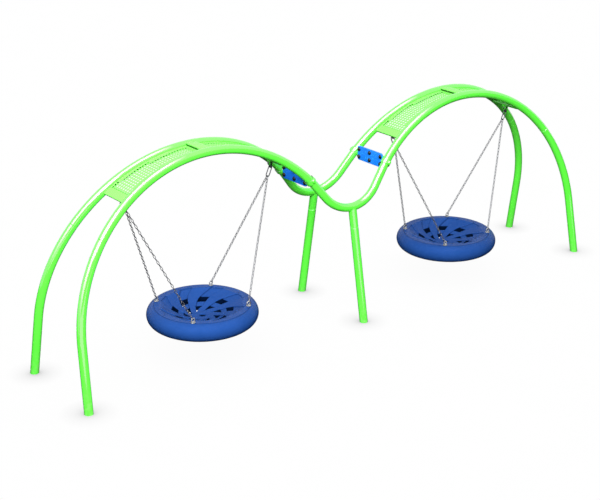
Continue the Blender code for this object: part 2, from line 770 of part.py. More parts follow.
def make_dish():
    """Dish with a flange, a hub hole and two rings of openings between curved ribs."""
    radii = [HUB_HOLE_RADIUS, HUB_RADIUS, *INNER_OPENING, *OUTER_OPENING]
    radii += [DISH_RADIUS, FLANGE_RADIUS]
    cells = SEAT_SEGMENTS // SECTORS
    open_rows = [radii.index(INNER_OPENING[0]), radii.index(OUTER_OPENING[0])]
    middle = sum(OUTER_OPENING) / 2
    bm = bmesh.new()
    skins = []
    for under in (0, 1):
        rows = []
        for radius in radii:
            turn = SECTOR_PHASE - SWIRL * (min(radius, DISH_RADIUS) - middle)
            flange = radius >= DISH_RADIUS
            thickness = FLANGE_THICKNESS if flange else DISH_THICKNESS
            z = RIM_HEIGHT - dish_drop(radius) - under * thickness
            inset = under * SEAT_GAP * 2 if radius == DISH_RADIUS else 0.0
            ring = circle(radius - inset, SEAT_SEGMENTS, turn)
            rows.append(add_ring(bm, [p + Vector((0, 0, z)) for p in ring]))
        skins.append(rows)

    def solid(row, cell):
        if not 0 <= row < len(radii) - 1:
            return False
        return row not in open_rows or cell % cells in RIB_CELLS

    for row in range(len(radii) - 1):
        for cell in range(SEAT_SEGMENTS):
            if not solid(row, cell):
                continue
            after = (cell + 1) % SEAT_SEGMENTS
            corners = [(row, cell), (row, after), (row + 1, after), (row + 1, cell)]
            for rows in skins:
                bm.faces.new([rows[r][c] for r, c in corners])
            beside = [(row - 1, cell), (row, after), (row + 1, cell), (row, cell - 1)]
            for k, (next_row, next_cell) in enumerate(beside):
                if solid(next_row, next_cell % SEAT_SEGMENTS):
                    continue
                (r0, c0), (r1, c1) = corners[k], corners[(k + 1) % 4]
                top, low = skins
                bm.faces.new((top[r0][c0], top[r1][c1], low[r1][c1], low[r0][c0]))
    mesh = finish_mesh(bm, "dish")
    depth = FLANGE_THICKNESS + EYE_SHANK
    return fused_mesh("dish", [(mesh, Matrix.Identity(4))], shank_cuts(RIM_HEIGHT, depth))


def make_eyebolt():
    """Eyebolt with its base on the seat's top at the origin, the eye in the XZ plane."""
    base = EYE_BASE_DIAMETER / 2
    neck = EYE_NECK_DIAMETER / 2
    shank = EYE_SHANK_DIAMETER / 2
    low = SEAT_GAP
    profile = [
        (shank, low - FLANGE_THICKNESS - EYE_SHANK + EYE_BASE),
        (shank, low),
        (base, low),
        (base, low + EYE_BASE_EDGE),
        (EYE_NECK_FOOT_DIAMETER / 2, low + EYE_BASE),
        (neck, low + EYE_BASE + EYE_WIRE / 2),
    ]
    stem = turned_mesh("stem", profile, PIN_SIDES)
    centre = eye_height() - SEAT_BASE_HEIGHT - RIM_HEIGHT
    outline = []
    for i in range(WIRE_SIDES):
        angle = 2 * math.pi * i / WIRE_SIDES
        radius = EYE_RADIUS + EYE_WIRE / 2 * math.cos(angle)
        outline.append((radius, EYE_WIRE / 2 * math.sin(angle)))
    eye = ring_mesh("eye", outline, 2 * LINK_ARC_SIDES)
    place = Matrix.Translation((0, 0, centre)) @ Matrix.Rotation(math.pi / 2, 4, "X")
    return fused_mesh("eyebolt", [(stem, Matrix.Identity(4)), (eye, place)])


# ---------------------------------------------------------------- panels and clamps


def panel_middle():
    """(x, z) where the saddle's end is clamped, in the middle plane."""
    x, t = arch_arc_point(CLAMP_SLOPE)
    return x, t * math.cos(SIDE_LEAN)


def panel_half_width():
    rail_y = rail_place(*arch_arc_point(CLAMP_SLOPE), 1).y
    return rail_y - TUBE_RADIUS - CLAMP_WALL - PANEL_SIDE_GAP


def make_panel():
    """Flat panel across the frame, its corners rounded, standing in the YZ plane."""
    outline = []
    half_width = panel_half_width()
    for quarter in range(4):
        sx = 1 if quarter in (0, 3) else -1
        sy = 1 if quarter in (0, 1) else -1
        for i in range(CORNER_SIDES + 1):
            angle = math.pi / 2 * (quarter + i / CORNER_SIDES)
            y = sx * (half_width - PANEL_CORNER) + PANEL_CORNER * math.cos(angle)
            z = sy * (PANEL_HEIGHT / 2 - PANEL_CORNER) + PANEL_CORNER * math.sin(angle)
            outline.append((y, z))
    return extruded_mesh("panel", outline, PANEL_THICKNESS)


def make_clamp(side, end):
    """Clamp ring round a rail, with a tab behind the panel and a lug for its pinch bolt."""
    headings = [CLAMP_SLOPE + turn for turn in (CLAMP_HALF_TURN, 0, -CLAMP_HALF_TURN)]
    stations = [(arch_arc_point(h), h) for h in headings]
    outer = [tube_ring(s, side, end, TUBE_RADIUS + CLAMP_WALL) for s in stations]
    bore = [tube_ring(s, side, end, TUBE_RADIUS + SEAT_GAP) for s in stations]
    bore = longer_ends(bore, CLAMP_WIDTH / 2)
    x, z = panel_middle()
    rail_y = rail_place(*arch_arc_point(CLAMP_SLOPE), side).y
    behind = PANEL_THICKNESS / 2 + SEAT_GAP + CLAMP_TAB_THICKNESS / 2
    inner = panel_half_width() - CLAMP_TAB_REACH
    width = abs(rail_y) - TUBE_RADIUS - CLAMP_WALL / 4 - inner
    tab = box_mesh("tab", (CLAMP_TAB_THICKNESS, width, CLAMP_TAB_HEIGHT))
    tab_place = Vector((end * x + behind, side * (inner + width / 2), z))
    outward = side_normal(side) * side
    lug_centre = rail_place(end * x, z / math.cos(SIDE_LEAN), side)
    lug_centre = lug_centre + outward * (TUBE_RADIUS + CLAMP_WALL)
    radius = CLAMP_LUG_DIAMETER / 2
    profile = [(radius, -CLAMP_LUG_LENGTH / 2), (radius, CLAMP_LUG_LENGTH / 2)]
    lug = turned_mesh("lug", profile, PIN_SIDES)
    tilt = Matrix.Rotation(end * (math.pi / 2 - CLAMP_SLOPE), 4, "Y")
    here = Matrix.Identity(4)
    solids = [
        (loft_mesh("ring", outer), here),
        (tab, Matrix.Translation(tab_place)),
        (lug, Matrix.Translation(lug_centre) @ tilt),
    ]
    return fused_mesh("clamp", solids, [(loft_mesh("ring_bore", bore), here)])


# ---------------------------------------------------------------- assembly


def build_frame(materials):
    green = materials["green"]
    for side_name, side in SIDES.items():
        add_piece(f"{side_name}_saddle_tube", make_saddle(side), green)
        add_piece(f"{side_name}_post", make_post(side), green)
        for end_name, end in ENDS.items():
            add_piece(f"{side_name}_{end_name}_arch_tube", make_arch(side, end), green)
            add_piece(f"{side_name}_{end_name}_leg_tube", make_leg(side, end), green)
            add_piece(f"{side_name}_{end_name}_clamp", make_clamp(side, end), green)
    panel = make_panel()
    stand = Matrix.Rotation(math.pi / 2, 4, "Z") @ Matrix.Rotation(math.pi / 2, 4, "X")
    for end_name, end in ENDS.items():
        x, z = panel_middle()
        place = Matrix.Translation((end * x, 0, z)) @ stand
        add_piece(f"{end_name}_blue_panel", panel, materials["panel"], place=place)


def turn_about(x, half_turns):
    """Half turns about the vertical line through x on the middle plane."""
    centre = Matrix.Translation((x, 0, 0))
    return centre @ Matrix.Rotation(math.pi * half_turns, 4, "Z") @ centre.inverted()


def build_arch_fittings(materials):
    """Decks and hanger brackets: made at the right arch's outer end and turned to the others."""
    green = materials["green"]
    middle = arch_centre()[0]
    deck, plate, bracket = make_deck(), make_apex_plate(), make_hanger_bracket()
    for end_name, end in ENDS.items():
        whole = Matrix.Translation(((end - 1) * middle, 0, 0))
        add_piece(f"{end_name}_apex_plate", plate, green, place=whole)
        for place_name, flip in (("outer", end < 0), ("inner", end > 0)):
            place = whole @ turn_about(middle, int(flip))
            add_piece(f"{end_name}_{place_name}_deck", deck, green, place=place)
            add_piece(f"{end_name}_{place_name}_hanger_bracket", bracket, green, place=place)


def build_swing(end_name, end, materials, shapes):
    """One seat with its chains and hangers, on pivots at the joints' axes."""
    steel = materials["steel"]
    middle = end * arch_centre()[0]
    swing = add_pivot(f"{end_name}_swing_axis", (middle, 0, pin_height()))
    eyes = {}
    for place_name, out in (("outer", end), ("inner", -end)):
        hanger_x = middle + out * HANGER_REACH
        prefix = f"{end_name}_{place_name}"
        pin_place = Matrix.Translation((hanger_x, 0, pin_height()))
        lie = Matrix.Rotation(math.pi / 2, 4, "Y")
        add_piece(f"{prefix}_hanger_pin", shapes["pin"], steel, place=pin_place @ lie)
        add_piece(f"{prefix}_yoke", shapes["yoke"], steel, swing, pin_place)
        pivot = Vector((hanger_x, 0, pivot_height()))
        chains = add_pivot(f"{prefix}_chain_axis", pivot, swing)
        lean = math.atan2(HANGER_REACH - EYE_REACH, pivot_height() - eye_height())
        tilt = Matrix.Rotation(out * lean, 4, "Y")
        link_place = Matrix.Translation(pivot) @ tilt
        add_piece(f"{prefix}_oval_link", shapes["link"], steel, chains, link_place)
        for side_name, side in SIDES.items():
            top, bottom = chain_ends(side)
            mirror = Vector((out, 1, 1))
            start = Vector((middle, 0, 0)) + top * mirror
            fall = (bottom - top) * mirror
            name = f"{prefix}_{side_name}_chain"
            add_piece(name, shapes["chain"], steel, chains, chain_place(start, fall))
        eyes[place_name] = (Vector((middle + out * EYE_REACH, 0, eye_height())), chains)
    seat = add_pivot(f"{end_name}_seat_axis", *eyes["outer"])
    base = Matrix.Translation((middle, 0, SEAT_BASE_HEIGHT))
    add_piece(f"{end_name}_seat_rim", shapes["rim"], materials["seat"], seat, base)
    add_piece(f"{end_name}_seat_dish", shapes["dish"], materials["seat"], seat, base)
    for place_name, out in (("outer", end), ("inner", -end)):
        for side_name, side in SIDES.items():
            place = base @ Matrix.Translation((out * EYE_REACH, side * EYE_REACH, RIM_HEIGHT))
            name = f"{end_name}_{place_name}_{side_name}_eyebolt"
            add_piece(name, shapes["eyebolt"], materials["eye"], seat, place)


def main():
    for obj in list(bpy.data.objects):
        bpy.data.objects.remove(obj)
    materials = make_materials()
    build_frame(materials)
    build_arch_fittings(materials)
    shapes = {
        "pin": make_pin(),
        "yoke": make_yoke(),
        "link": make_oval_link(),
        "chain": make_chain(1),
        "rim": make_rim(),
        "dish": make_dish(),
        "eyebolt": make_eyebolt(),
    }
    for end_name, end in ENDS.items():
        build_swing(end_name, end, materials, shapes)


main()
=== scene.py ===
"""Finished look of a double-arch glider swing: bent tube rails, perforated decks, clamped blue
panels, swivel hangers with chains, and two round moulded seats. Metres, +Z up, X along the
frame, origin on the ground at its middle. Near is the -Y side and left is the -X side."""

import math

import bmesh
import bpy
from mathutils import Matrix, Vector


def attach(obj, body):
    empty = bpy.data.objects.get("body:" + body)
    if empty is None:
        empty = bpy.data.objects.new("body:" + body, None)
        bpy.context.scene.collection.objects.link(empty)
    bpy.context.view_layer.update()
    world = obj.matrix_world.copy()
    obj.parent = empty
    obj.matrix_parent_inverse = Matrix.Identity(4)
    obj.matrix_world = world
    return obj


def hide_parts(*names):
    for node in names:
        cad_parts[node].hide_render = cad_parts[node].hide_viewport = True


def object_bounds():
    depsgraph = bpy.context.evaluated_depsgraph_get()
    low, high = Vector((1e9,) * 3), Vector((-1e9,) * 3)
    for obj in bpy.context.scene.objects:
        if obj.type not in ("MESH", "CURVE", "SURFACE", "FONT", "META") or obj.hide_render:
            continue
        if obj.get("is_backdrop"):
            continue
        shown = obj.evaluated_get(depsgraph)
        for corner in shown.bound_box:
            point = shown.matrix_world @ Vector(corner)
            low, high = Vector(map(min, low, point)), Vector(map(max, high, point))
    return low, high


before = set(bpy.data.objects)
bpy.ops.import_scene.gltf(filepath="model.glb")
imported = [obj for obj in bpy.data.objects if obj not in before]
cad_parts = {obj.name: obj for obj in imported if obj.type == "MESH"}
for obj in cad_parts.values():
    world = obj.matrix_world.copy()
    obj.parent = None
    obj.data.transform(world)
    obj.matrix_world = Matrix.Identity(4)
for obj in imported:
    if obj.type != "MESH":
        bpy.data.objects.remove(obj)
CAD_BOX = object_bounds()

bl_info = {
    "name": "Glider Swing",
    "version": (1, 0, 0),
    "blender": (4, 5, 0),
    "location": "3D View > Sidebar > Glider",
    "description": "Builds the finished pieces of a two-seat glider swing on its frame",
    "category": "Object",
}

SIDES = {"near": -1, "far": 1}
ENDS = {"left": -1, "right": 1}
PLACES = {"outer": 1, "inner": -1}
HERE = Matrix.Identity(4)
FLIPS = (HERE, Matrix.Rotation(math.pi, 4, "X"))
STANDING = Matrix.Rotation(math.pi / 2, 4, "Z") @ Matrix.Rotation(math.pi / 2, 4, "X")
SECTORS = 8  # fields and ribs round a dish
PLAY = 0.0003  # gap between pieces that touch
PAIR = 0.004  # between the close rings of points at an edge of the dish


# ---------------------------------------------------------------- settings


def number(name, default, description, **limits):
    """A plain factor."""
    return bpy.props.FloatProperty(name=name, description=description, default=default, **limits)


def length(name, default, description):
    """A size in metres."""
    return number(name, default, description, min=0.0, unit="LENGTH", precision=4)


def turn(name, degrees, description):
    """An angle, given in degrees."""
    return number(name, math.radians(degrees), description, subtype="ANGLE")


def vector(name, default, description, **kind):
    """Three numbers."""
    return bpy.props.FloatVectorProperty(name=name, description=description, default=default, **kind)


def count(name, default, description):
    """A number of copies or of steps."""
    return bpy.props.IntProperty(name=name, description=description, default=default, min=1)


def colour(name, default, description):
    """A linear colour."""
    return vector(name, default, description, subtype="COLOR", min=0.0, max=1.0)


class RailSizes(bpy.types.PropertyGroup):
    """Bent tube rails and posts."""

    tube: length("Tube diameter", 0.0889, "Outer diameter of the rails and posts")
    foot_spacing: length("Foot half spacing", 0.545, "Rail axis to the middle plane at the ground")
    lean: turn("Side lean", 9.95, "Lean of each rail towards the other")
    dip: length("Dip height", 1.260, "Rail axis at the bottom of the saddle")
    saddle_radius: length("Saddle radius", 0.4325, "Bend radius of the saddle between the arches")
    shoulder_slope: turn("Shoulder slope", 51.5, "Slope of the straight run beside the saddle")
    shoulder_run: length("Shoulder run", 0.171, "Length of that straight run")
    arch_radius: length("Arch radius", 1.637, "Bend radius of both arches")
    leg_slope: turn("Leg slope", 87.0, "Slope of the straight outer leg")
    clamp_slope: turn("Clamp slope", 47.5, "Rail slope where the saddle ends in a clamp")
    leg_joint_slope: turn("Leg joint slope", 51.0, "Rail slope where the leg tube starts")
    post_joint: length("Post joint height", 1.042, "Height of the joint in each post")
    joint_gap: length("Joint gap", 0.0003, "Gap between tubes that meet end to end")
    joint_edge: length("Joint edge", 0.0036, "Rounding of the tube ends at a joint")
    sides: count("Tube sides", 48, "Faces round a tube")
    bend_step: turn("Bend step", 1.6, "Turn of one face along a bend")


class DeckSizes(bpy.types.PropertyGroup):
    """Perforated decks and apex plates."""

    rise: length("Deck rise", 0.008, "Deck top above the rail axis")
    sheet: length("Sheet thickness", 0.005, "Thickness of the perforated sheet")
    reach: length("Deck reach", 0.971, "Arch middle to the end of the deck")
    lip: length("End lip", 0.020, "Depth of the folded lip at the end of the deck")
    column_pitch: length("Column pitch", 0.038, "Slot spacing across the deck")
    row_pitch: length("Row pitch", 0.0323, "Slot spacing along the deck")
    first_row: length("First row", 0.942, "Arc length from the arch's middle to the outer row")
    rows: count("Rows", 27, "Rows of slots along a deck")
    slot_width: length("Slot width", 0.0265, "Slot size across the deck")
    slot_length: length("Slot length", 0.0220, "Slot size along the deck")
    slot_corner: length("Slot corner", 0.005, "Corner radius of a slot")
    zone_start: length("Zone at the apex", 0.064, "Half width of the slotted zone at the apex")
    zone_spread: length("Zone spread", 0.080, "Growth of that half width at the outer row")
    zone_power: number("Zone power", 1.6, "How late the slotted zone widens")
    plate_half: length("Apex plate half", 0.055, "Half length of the raised apex plate")
    plate_rise: length("Apex plate rise", 0.036, "Top of the apex plate above the rail axis")
    plate_edge: length("Apex plate edge", 0.005, "Rounding of the apex plate")
    edge_gap: length("Edge gap", 0.0006, "Gap between a deck and the rails")
    stiffener: length("Stiffener depth", 0.013, "Depth of the frame folded under the slots")
    stiffener_wall: length("Stiffener wall", 0.003, "Thickness of that frame")
    stiffener_gap: length("Stiffener gap", 0.0005, "Slotted zone to the frame beside it")


class HangerSizes(bpy.types.PropertyGroup):
    """Crossbars, ears, pins, yokes and oval links."""

    reach: length("Hanger reach", 0.886, "Arch middle to a hanger")
    bar: length("Crossbar diameter", 0.0483, "Diameter of the tube between the rails")
    bar_gap: length("Crossbar gap", 0.0026, "From the deck's top to the crossbar")
    pin_drop: length("Pin drop", 0.044, "Crossbar axis to the pin")
    pin: length("Pin diameter", 0.016, "Diameter of the hanger pin")
    pin_head: length("Pin head diameter", 0.026, "Diameter of the washer under the pin's head")
    pin_head_height: length("Pin head height", 0.008, "Washer and head together")
    ear_gap: length("Ear gap", 0.030, "Between the two ears")
    ear: length("Ear thickness", 0.008, "Thickness of an ear")
    ear_width: length("Ear width", 0.044, "Width of an ear")
    barrel: length("Barrel diameter", 0.032, "Diameter of the yoke's barrel")
    yoke_drop: length("Yoke drop", 0.042, "Pin to the fork bolt")
    yoke_width: length("Yoke width", 0.024, "Width of the fork")
    fork_gap: length("Fork gap", 0.015, "Between the prongs")
    prong: length("Prong thickness", 0.007, "Thickness of a prong")
    bridge: length("Bridge rise", 0.0188, "Underside of the fork's bridge above its bolt")
    bolt: length("Fork bolt diameter", 0.010, "Diameter of the fork bolt")
    bolt_head: length("Fork bolt head", 0.017, "Width of the fork bolt's head")
    bolt_head_height: length("Fork bolt head height", 0.006, "Height of that head")
    wire: length("Oval link wire", 0.011, "Wire diameter of the oval link")
    link_half: length("Oval link half width", 0.0205, "Wire axis to the link's middle")
    link_length: length("Oval link length", 0.116, "Between the wire's axes at both ends")
    link_play: length("Link play", 0.0004, "Between the oval link and the fork bolt")
    weld: length("Weld", 0.0035, "Radius of the weld beads")


class ChainSizes(bpy.types.PropertyGroup):
    """Short-link chains."""

    wire: length("Wire", 0.0068, "Wire diameter of a chain link")
    width: length("Link width", 0.0245, "Outer width of a link")
    link: length("Link length", 0.045, "Outer length of a link")
    links: count("Links", 37, "Links of one chain, an odd number")
    top_spread: length("Top spread", 0.0056, "Chain's top to the oval link's middle plane")
    sides: count("Wire sides", 5, "Faces round the wire")


class SeatSizes(bpy.types.PropertyGroup):
    """Bumper rings, dishes and eyebolts."""

    radius: length("Seat radius", 0.580, "Outer radius of the bumper")
    base: length("Base height", 0.293, "Underside of the bumper above the ground")
    rim: length("Rim height", 0.200, "Height of the bumper")
    rim_inner: length("Rim inner radius", 0.428, "Inner radius of the bumper")
    rim_fillet: length("Rim fillet", 0.030, "Rounding of its inner lower edge")
    flange: length("Flange radius", 0.500, "Outer radius of the dish's flange")
    flange_thickness: length("Flange thickness", 0.020, "Thickness of that flange")
    seam: length("Seam", 0.0022, "Rounding of both edges at the seam groove")
    dish: length("Dish radius", 0.425, "Where the dish starts to fall")
    depth: length("Dish depth", 0.133, "Depth of the dish at its middle")
    swell: length("Swell", 0.008, "Rise of the dish's flank over an even bowl")
    swell_at: length("Swell radius", 0.270, "Where the flank rises most")
    swell_reach: length("Swell reach", 0.150, "Half width of the risen flank")
    thickness: length("Dish depth of body", 0.060, "Top to underside of the hollow moulded dish")
    relief: length("Relief", 0.010, "Step from the ribs down to the fields")
    groove: length("Groove width", 0.009, "Width of the shaded line at the foot of a step")
    step: length("Step width", 0.004, "Width of that step")
    hub: length("Hub radius", 0.062, "Radius of the smooth hub")
    hub_hole: length("Hub hole", 0.032, "Radius of the hole in the hub")
    field_edge: turn("Field edge", 106.3, "Direction of a field's edge, run back to the middle")
    swirl: turn("Swirl", 145.5, "Turn of the ribs for each metre outwards")
    field_width: turn("Field width", 19.0, "Width of a field in the outer half of the dish")
    field_spread: turn("Field spread", 40.0, "Growth of that width for each metre inwards")
    spread_start: length("Spread start", 0.340, "Radius inside which a field widens")
    field_tip: length("Field tip", 0.098, "Radius of a field's inner point")
    field_taper: length("Field taper", 0.085, "Distance over which a field opens from its point")
    field_end: length("Field end", 0.441, "Outer end of the fields")
    inner_open: length("Inner opening", 0.196, "Outer end of the inner openings")
    outer_open_from: length("Outer opening start", 0.250, "Inner end of the outer openings")
    outer_open_to: length("Outer opening end", 0.320, "Outer end of the outer openings")
    eye_reach: length("Eye reach", 0.341, "Seat middle to an eyebolt, along and across")
    eye_base: length("Eye base diameter", 0.050, "Diameter of the eyebolt's base")
    eye_base_height: length("Eye base height", 0.008, "Height of that base")
    eye_neck: length("Eye neck diameter", 0.020, "Diameter under the eye")
    eye_radius: length("Eye radius", 0.0185, "Wire axis of the eye")
    eye_wire: length("Eye wire", 0.012, "Wire diameter of the eye")
    eye_lift: length("Eye lift", 0.003, "Base top to the wire axis at the eye's foot")


class PanelSizes(bpy.types.PropertyGroup):
    """Blue panels, their caps and clamps."""

    height: length("Panel height", 0.158, "Height of a panel")
    side_gap: length("Side gap", 0.0062, "Panel edge to the clamp ring")
    thickness: length("Panel thickness", 0.019, "Thickness of a panel")
    corner: length("Panel corner", 0.020, "Corner radius")
    edge: length("Panel edge", 0.003, "Rounding of the panel's edges")
    cap: length("Cap diameter", 0.047, "Diameter of a domed bolt cap")
    cap_height: length("Cap height", 0.017, "Height of a cap")
    cap_inset: length("Cap inset", 0.0235, "Outer caps to the panel's side edge")
    cap_rows: length("Cap row spacing", 0.083, "Between the two rows of caps")
    clamp: length("Clamp width", 0.052, "Width of a clamp ring along the rail")
    wall: length("Clamp wall", 0.007, "Thickness of a clamp ring")
    tab_reach: length("Tab reach", 0.050, "Tab beyond the panel's edge")
    tab_height: length("Tab height", 0.110, "Height of a tab")
    tab: length("Tab thickness", 0.008, "Thickness of a tab")
    lug: length("Lug diameter", 0.040, "Diameter of the pinch lug")
    lug_length: length("Lug length", 0.046, "Length of the pinch lug")
    lug_edge: length("Lug edge", 0.017, "Rounding of the pinch lug's ends")
    flare: length("Flare", 0.003, "Thickening of the clamp ring over the tab's root")
    fit: length("Fit", 0.0003, "Gap between pieces that touch")


class FinishColours(bpy.types.PropertyGroup):
    """Colours of the finishes."""

    green: colour("Green", (0.098, 0.830, 0.048), "Powder coat of the frame")
    green_fade: colour("Faded green", (0.118, 0.860, 0.060), "Powder coat where it has faded")
    # The paler deck green is a painted reflection. It stands in for the sky's sheen, which the decks'
    # thinned gloss coat no longer gives.
    deck: colour("Decks", (0.20, 0.83, 0.112), "Paler paint on the perforated decks")
    steel: colour("Zinc", (0.20, 0.205, 0.225), "Galvanised chain and hangers")
    steel_dull: colour("Dull zinc", (0.045, 0.047, 0.052), "Zinc where it is worn or dirty")
    eye: colour("Eye steel", (0.420, 0.430, 0.440), "Eyebolts")
    seat: colour("Seat blue", (0.0105, 0.050, 0.212), "Moulded seats")
    seat_fade: colour("Faded seat blue", (0.014, 0.058, 0.235), "Seats where they have faded")
    panel: colour("Panel blue", (0.005, 0.165, 0.860), "Blue panels")
    panel_cut: colour("Cut panel blue", (0.030, 0.300, 0.950), "Panels where they are cut or worn")
    cap: colour("Cap black", (0.004, 0.004, 0.005), "Bolt caps")
    dust: colour("Dust", (0.42, 0.38, 0.31), "Dust on the upper faces and near the ground")


class StageSizes(bpy.types.PropertyGroup):
    """Floor, lights and camera."""

    floor: length("Floor", 60.0, "Side of the floor")
    camera_place: vector(
        "Camera place", (-8.6552, -10.5370, 6.0536), "Where the camera stands", unit="LENGTH"
    )
    camera_turn: vector(
        "Camera turn", (math.radians(68.428), 0.0, math.radians(-37.90)),
        "Which way the camera looks", subtype="EULER",
    )
    lens: number("Lens", 80.09, "Focal length in millimetres on a 36 mm wide sensor")
    fill_from: vector(
        "Fill direction", (-0.50, -0.62, 0.60), "From the object towards the front light"
    )
    fill_distance: length("Fill distance", 14.0, "From the object's middle to the front light")
    fill_size: length("Fill size", 9.0, "Width of the front light")
    fill_power: number("Fill power", 4150.0, "Power of the front light in watts")
    ambient: number("Ambient", 0.38, "Light from above on diffuse surfaces")
    mirrored_sky: number("Mirrored sky", 1.15, "Brightness of the surroundings in gloss coats")
    mirrored_ground: number("Mirrored ground", 0.02, "Brightness of what lies below in gloss coats")
    mirrored_box: number("Mirrored softbox", 8.0, "Brightness of the left softbox in gloss coats")
    mirrored_front: number("Mirrored front", 2.2, "Brightness of the low front band in gloss coats")
    mirrored_lamp: number("Mirrored lamp", 14.0, "Brightness of the front lamp in gloss coats")
    bounce: number("Bounce", 0.08, "Light that the floor gives back to the object")
    contact: length("Contact reach", 0.26, "Reach of the soft contact shadows")
    contact_depth: number("Contact depth", 0.85, "Darkness of those shadows")
    shade: length("Shade reach", 1.3, "Reach of the faint shade under the seats")
    shade_depth: number("Shade depth", 0.045, "Darkness of that shade")


# ---------------------------------------------------------------- solids


class Shape:
    """Closed solids gathered in one mesh."""

    def __init__(self):
        self.bm = bmesh.new()

    def loft(self, rings, closed=False, place=HERE):
        """A skin through rings of points: capped at both ends, or joined into a loop."""
        made = [[self.bm.verts.new(place @ Vector(p)) for p in ring] for ring in rings]
        pairs = list(zip(made, made[1:]))
        if closed:
            pairs.append((made[-1], made[0]))
        else:
            self.bm.faces.new(made[0])
            self.bm.faces.new(made[-1])
        for first, second in pairs:
            for i in range(len(first)):
                j = (i + 1) % len(first)
                self.bm.faces.new((first[i], first[j], second[j], second[i]))

    def turned(self, profile, sides, place=HERE):
        """A solid of revolution about Z from (radius, z) points along its skin."""
        self.loft([circle(radius, sides, z) for radius, z in profile], place=place)

    def hoop(self, outline, sides, place=HERE):
        """A closed ring about Z from a closed (radius, z) outline."""
        steps = spread(0, 2 * math.pi, sides)[:-1]
        rings = [[(r * math.cos(a), r * math.sin(a), z) for r, z in outline] for a in steps]
        self.loft(rings, closed=True, place=place)

    def plate(self, outline, thickness, edge, place=HERE, steps=3):
        """An outline in the XY plane, thickened evenly, its edges rounded."""
        points = [Vector((x, y, 0)) for x, y in outline]
        inward = inward_normals(points)
        rings = []
        for sign in (-1, 1):
            turns = spread(0, math.pi / 2, steps)
            for angle in turns if sign < 0 else reversed(turns):
                inset = edge * (1 - math.sin(angle))
                z = sign * (thickness / 2 - edge * (1 - math.cos(angle)))
                rings.append([p + n * inset + Vector((0, 0, z)) for p, n in zip(points, inward)])
        self.loft(rings, place=place)

    def box(self, size, edge, place=HERE):
        """A block with rounded edges."""
        x, y, z = size
        self.plate(rounded_outline(x / 2, y / 2, edge, 3), z, edge, place)

    def wire(self, path, radius, sides, level, closed=True):
        """A round wire along points, with one of its axes along a fixed direction."""
        rings = []
        for i, point in enumerate(path):
            before = path[i - 1] if closed or i else path[i]
            after = path[(i + 1) % len(path)] if closed or i + 1 < len(path) else path[i]
            out = (after - before).cross(level).normalized()
            steps = spread(0, 2 * math.pi, sides)[:-1]
            rings.append([point + radius * (math.cos(a) * out + math.sin(a) * level) for a in steps])
        self.loft(rings, closed=closed)

    def add_mesh(self, mesh):
        self.bm.from_mesh(mesh)

    def mark(self, name, points, value):
        """Give points a share, from 0 to 1, that a finish reads."""
        layers = self.bm.verts.layers.float
        layer = layers.get(name) or layers.new(name)
        self.bm.verts.ensure_lookup_table()
        for index in points:
            self.bm.verts[index][layer] = value

    def mesh(self, name, sharp=38.0):
        """The gathered solids as a smooth-shaded mesh, their faces pointing out."""
        bmesh.ops.recalc_face_normals(self.bm, faces=self.bm.faces)
        mesh = plain_mesh(self.bm, name)
        mesh.shade_smooth()
        mesh.set_sharp_from_angle(angle=math.radians(sharp))
        return mesh


def plain_mesh(bm, name):
    mesh = bpy.data.meshes.new(name)
    bm.to_mesh(mesh)
    bm.free()
    return mesh


def circle(radius, sides, z=0.0):
    steps = spread(0, 2 * math.pi, sides)[:-1]
    return [Vector((radius * math.cos(a), radius * math.sin(a), z)) for a in steps]


def inward_normals(points):
    """Inward mitre direction at each point of a closed anticlockwise outline in XY."""
    normals = []
    for i, point in enumerate(points):
        first = (point - points[i - 1]).normalized()
        second = (points[(i + 1) % len(points)] - point).normalized()
        edges = [Vector((-d.y, d.x, 0)) for d in (first, second)]
        middle = (edges[0] + edges[1]).normalized()
        normals.append(middle / max(middle.dot(edges[0]), 0.5))
    return normals


def rounded_outline(half_x, half_y, corner, steps):
    """Anticlockwise rectangle with round corners."""
    outline = []
    for quarter in range(4):
        sx = 1 if quarter in (0, 3) else -1
        sy = 1 if quarter in (0, 1) else -1
        for i in range(steps + 1):
            angle = math.pi / 2 * (quarter + i / steps)
            x = sx * (half_x - corner) + corner * math.cos(angle)
            outline.append((x, sy * (half_y - corner) + corner * math.sin(angle)))
    return outline


def rounded_profile(radius, low, high, edge, steps=3):
    """(radius, z) profile of a short cylinder with rounded rims."""
    profile = []
    for angle in spread(0, math.pi / 2, steps):
        profile.append((radius - edge * (1 - math.sin(angle)), low + edge * (1 - math.cos(angle))))
    mirrored = [(r, low + high - z) for r, z in reversed(profile)]
    return profile + mirrored


def hex_profile(width, low, high):
    """Profile of a six-sided head, chamfered on its upper face."""
    corner = width / 2 / math.cos(math.pi / 6)
    return [(corner, low), (corner, high - width * 0.07), (width * 0.45, high)]


def move(x, y, z):
    return Matrix.Translation((x, y, z))


def spin(degrees, axis):
    return Matrix.Rotation(math.radians(degrees), 4, axis)


def turn_about(x, half_turns):
    """Half turns about the vertical line through x on the middle plane."""
    return move(x, 0, 0) @ spin(180 * half_turns, "Z") @ move(-x, 0, 0)


def linked_object(name, data):
    made = bpy.data.objects.new(name, data)
    bpy.context.scene.collection.objects.link(made)
    return made


def add_piece(name, mesh, body, slot, *replaced):
    """An object for one finished piece, riding on its body in place of its plain solids."""
    mesh.materials.clear()
    mesh.materials.append(finish_for(slot))
    piece = linked_object(name, mesh)
    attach(piece, body)
    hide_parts(*replaced)
    return piece


def add_copy(mesh, place, name, body, slot, *replaced):
    """A finished piece from a copy of a mesh, moved to its place."""
    copy = mesh.copy()
    copy.name = name
    copy.transform(place)
    return add_piece(name, copy, body, slot, *replaced)


def spread(first, last, steps):
    """Even values from the first to the last."""
    return [first + (last - first) * i / steps for i in range(steps + 1)]


# ---------------------------------------------------------------- rail line


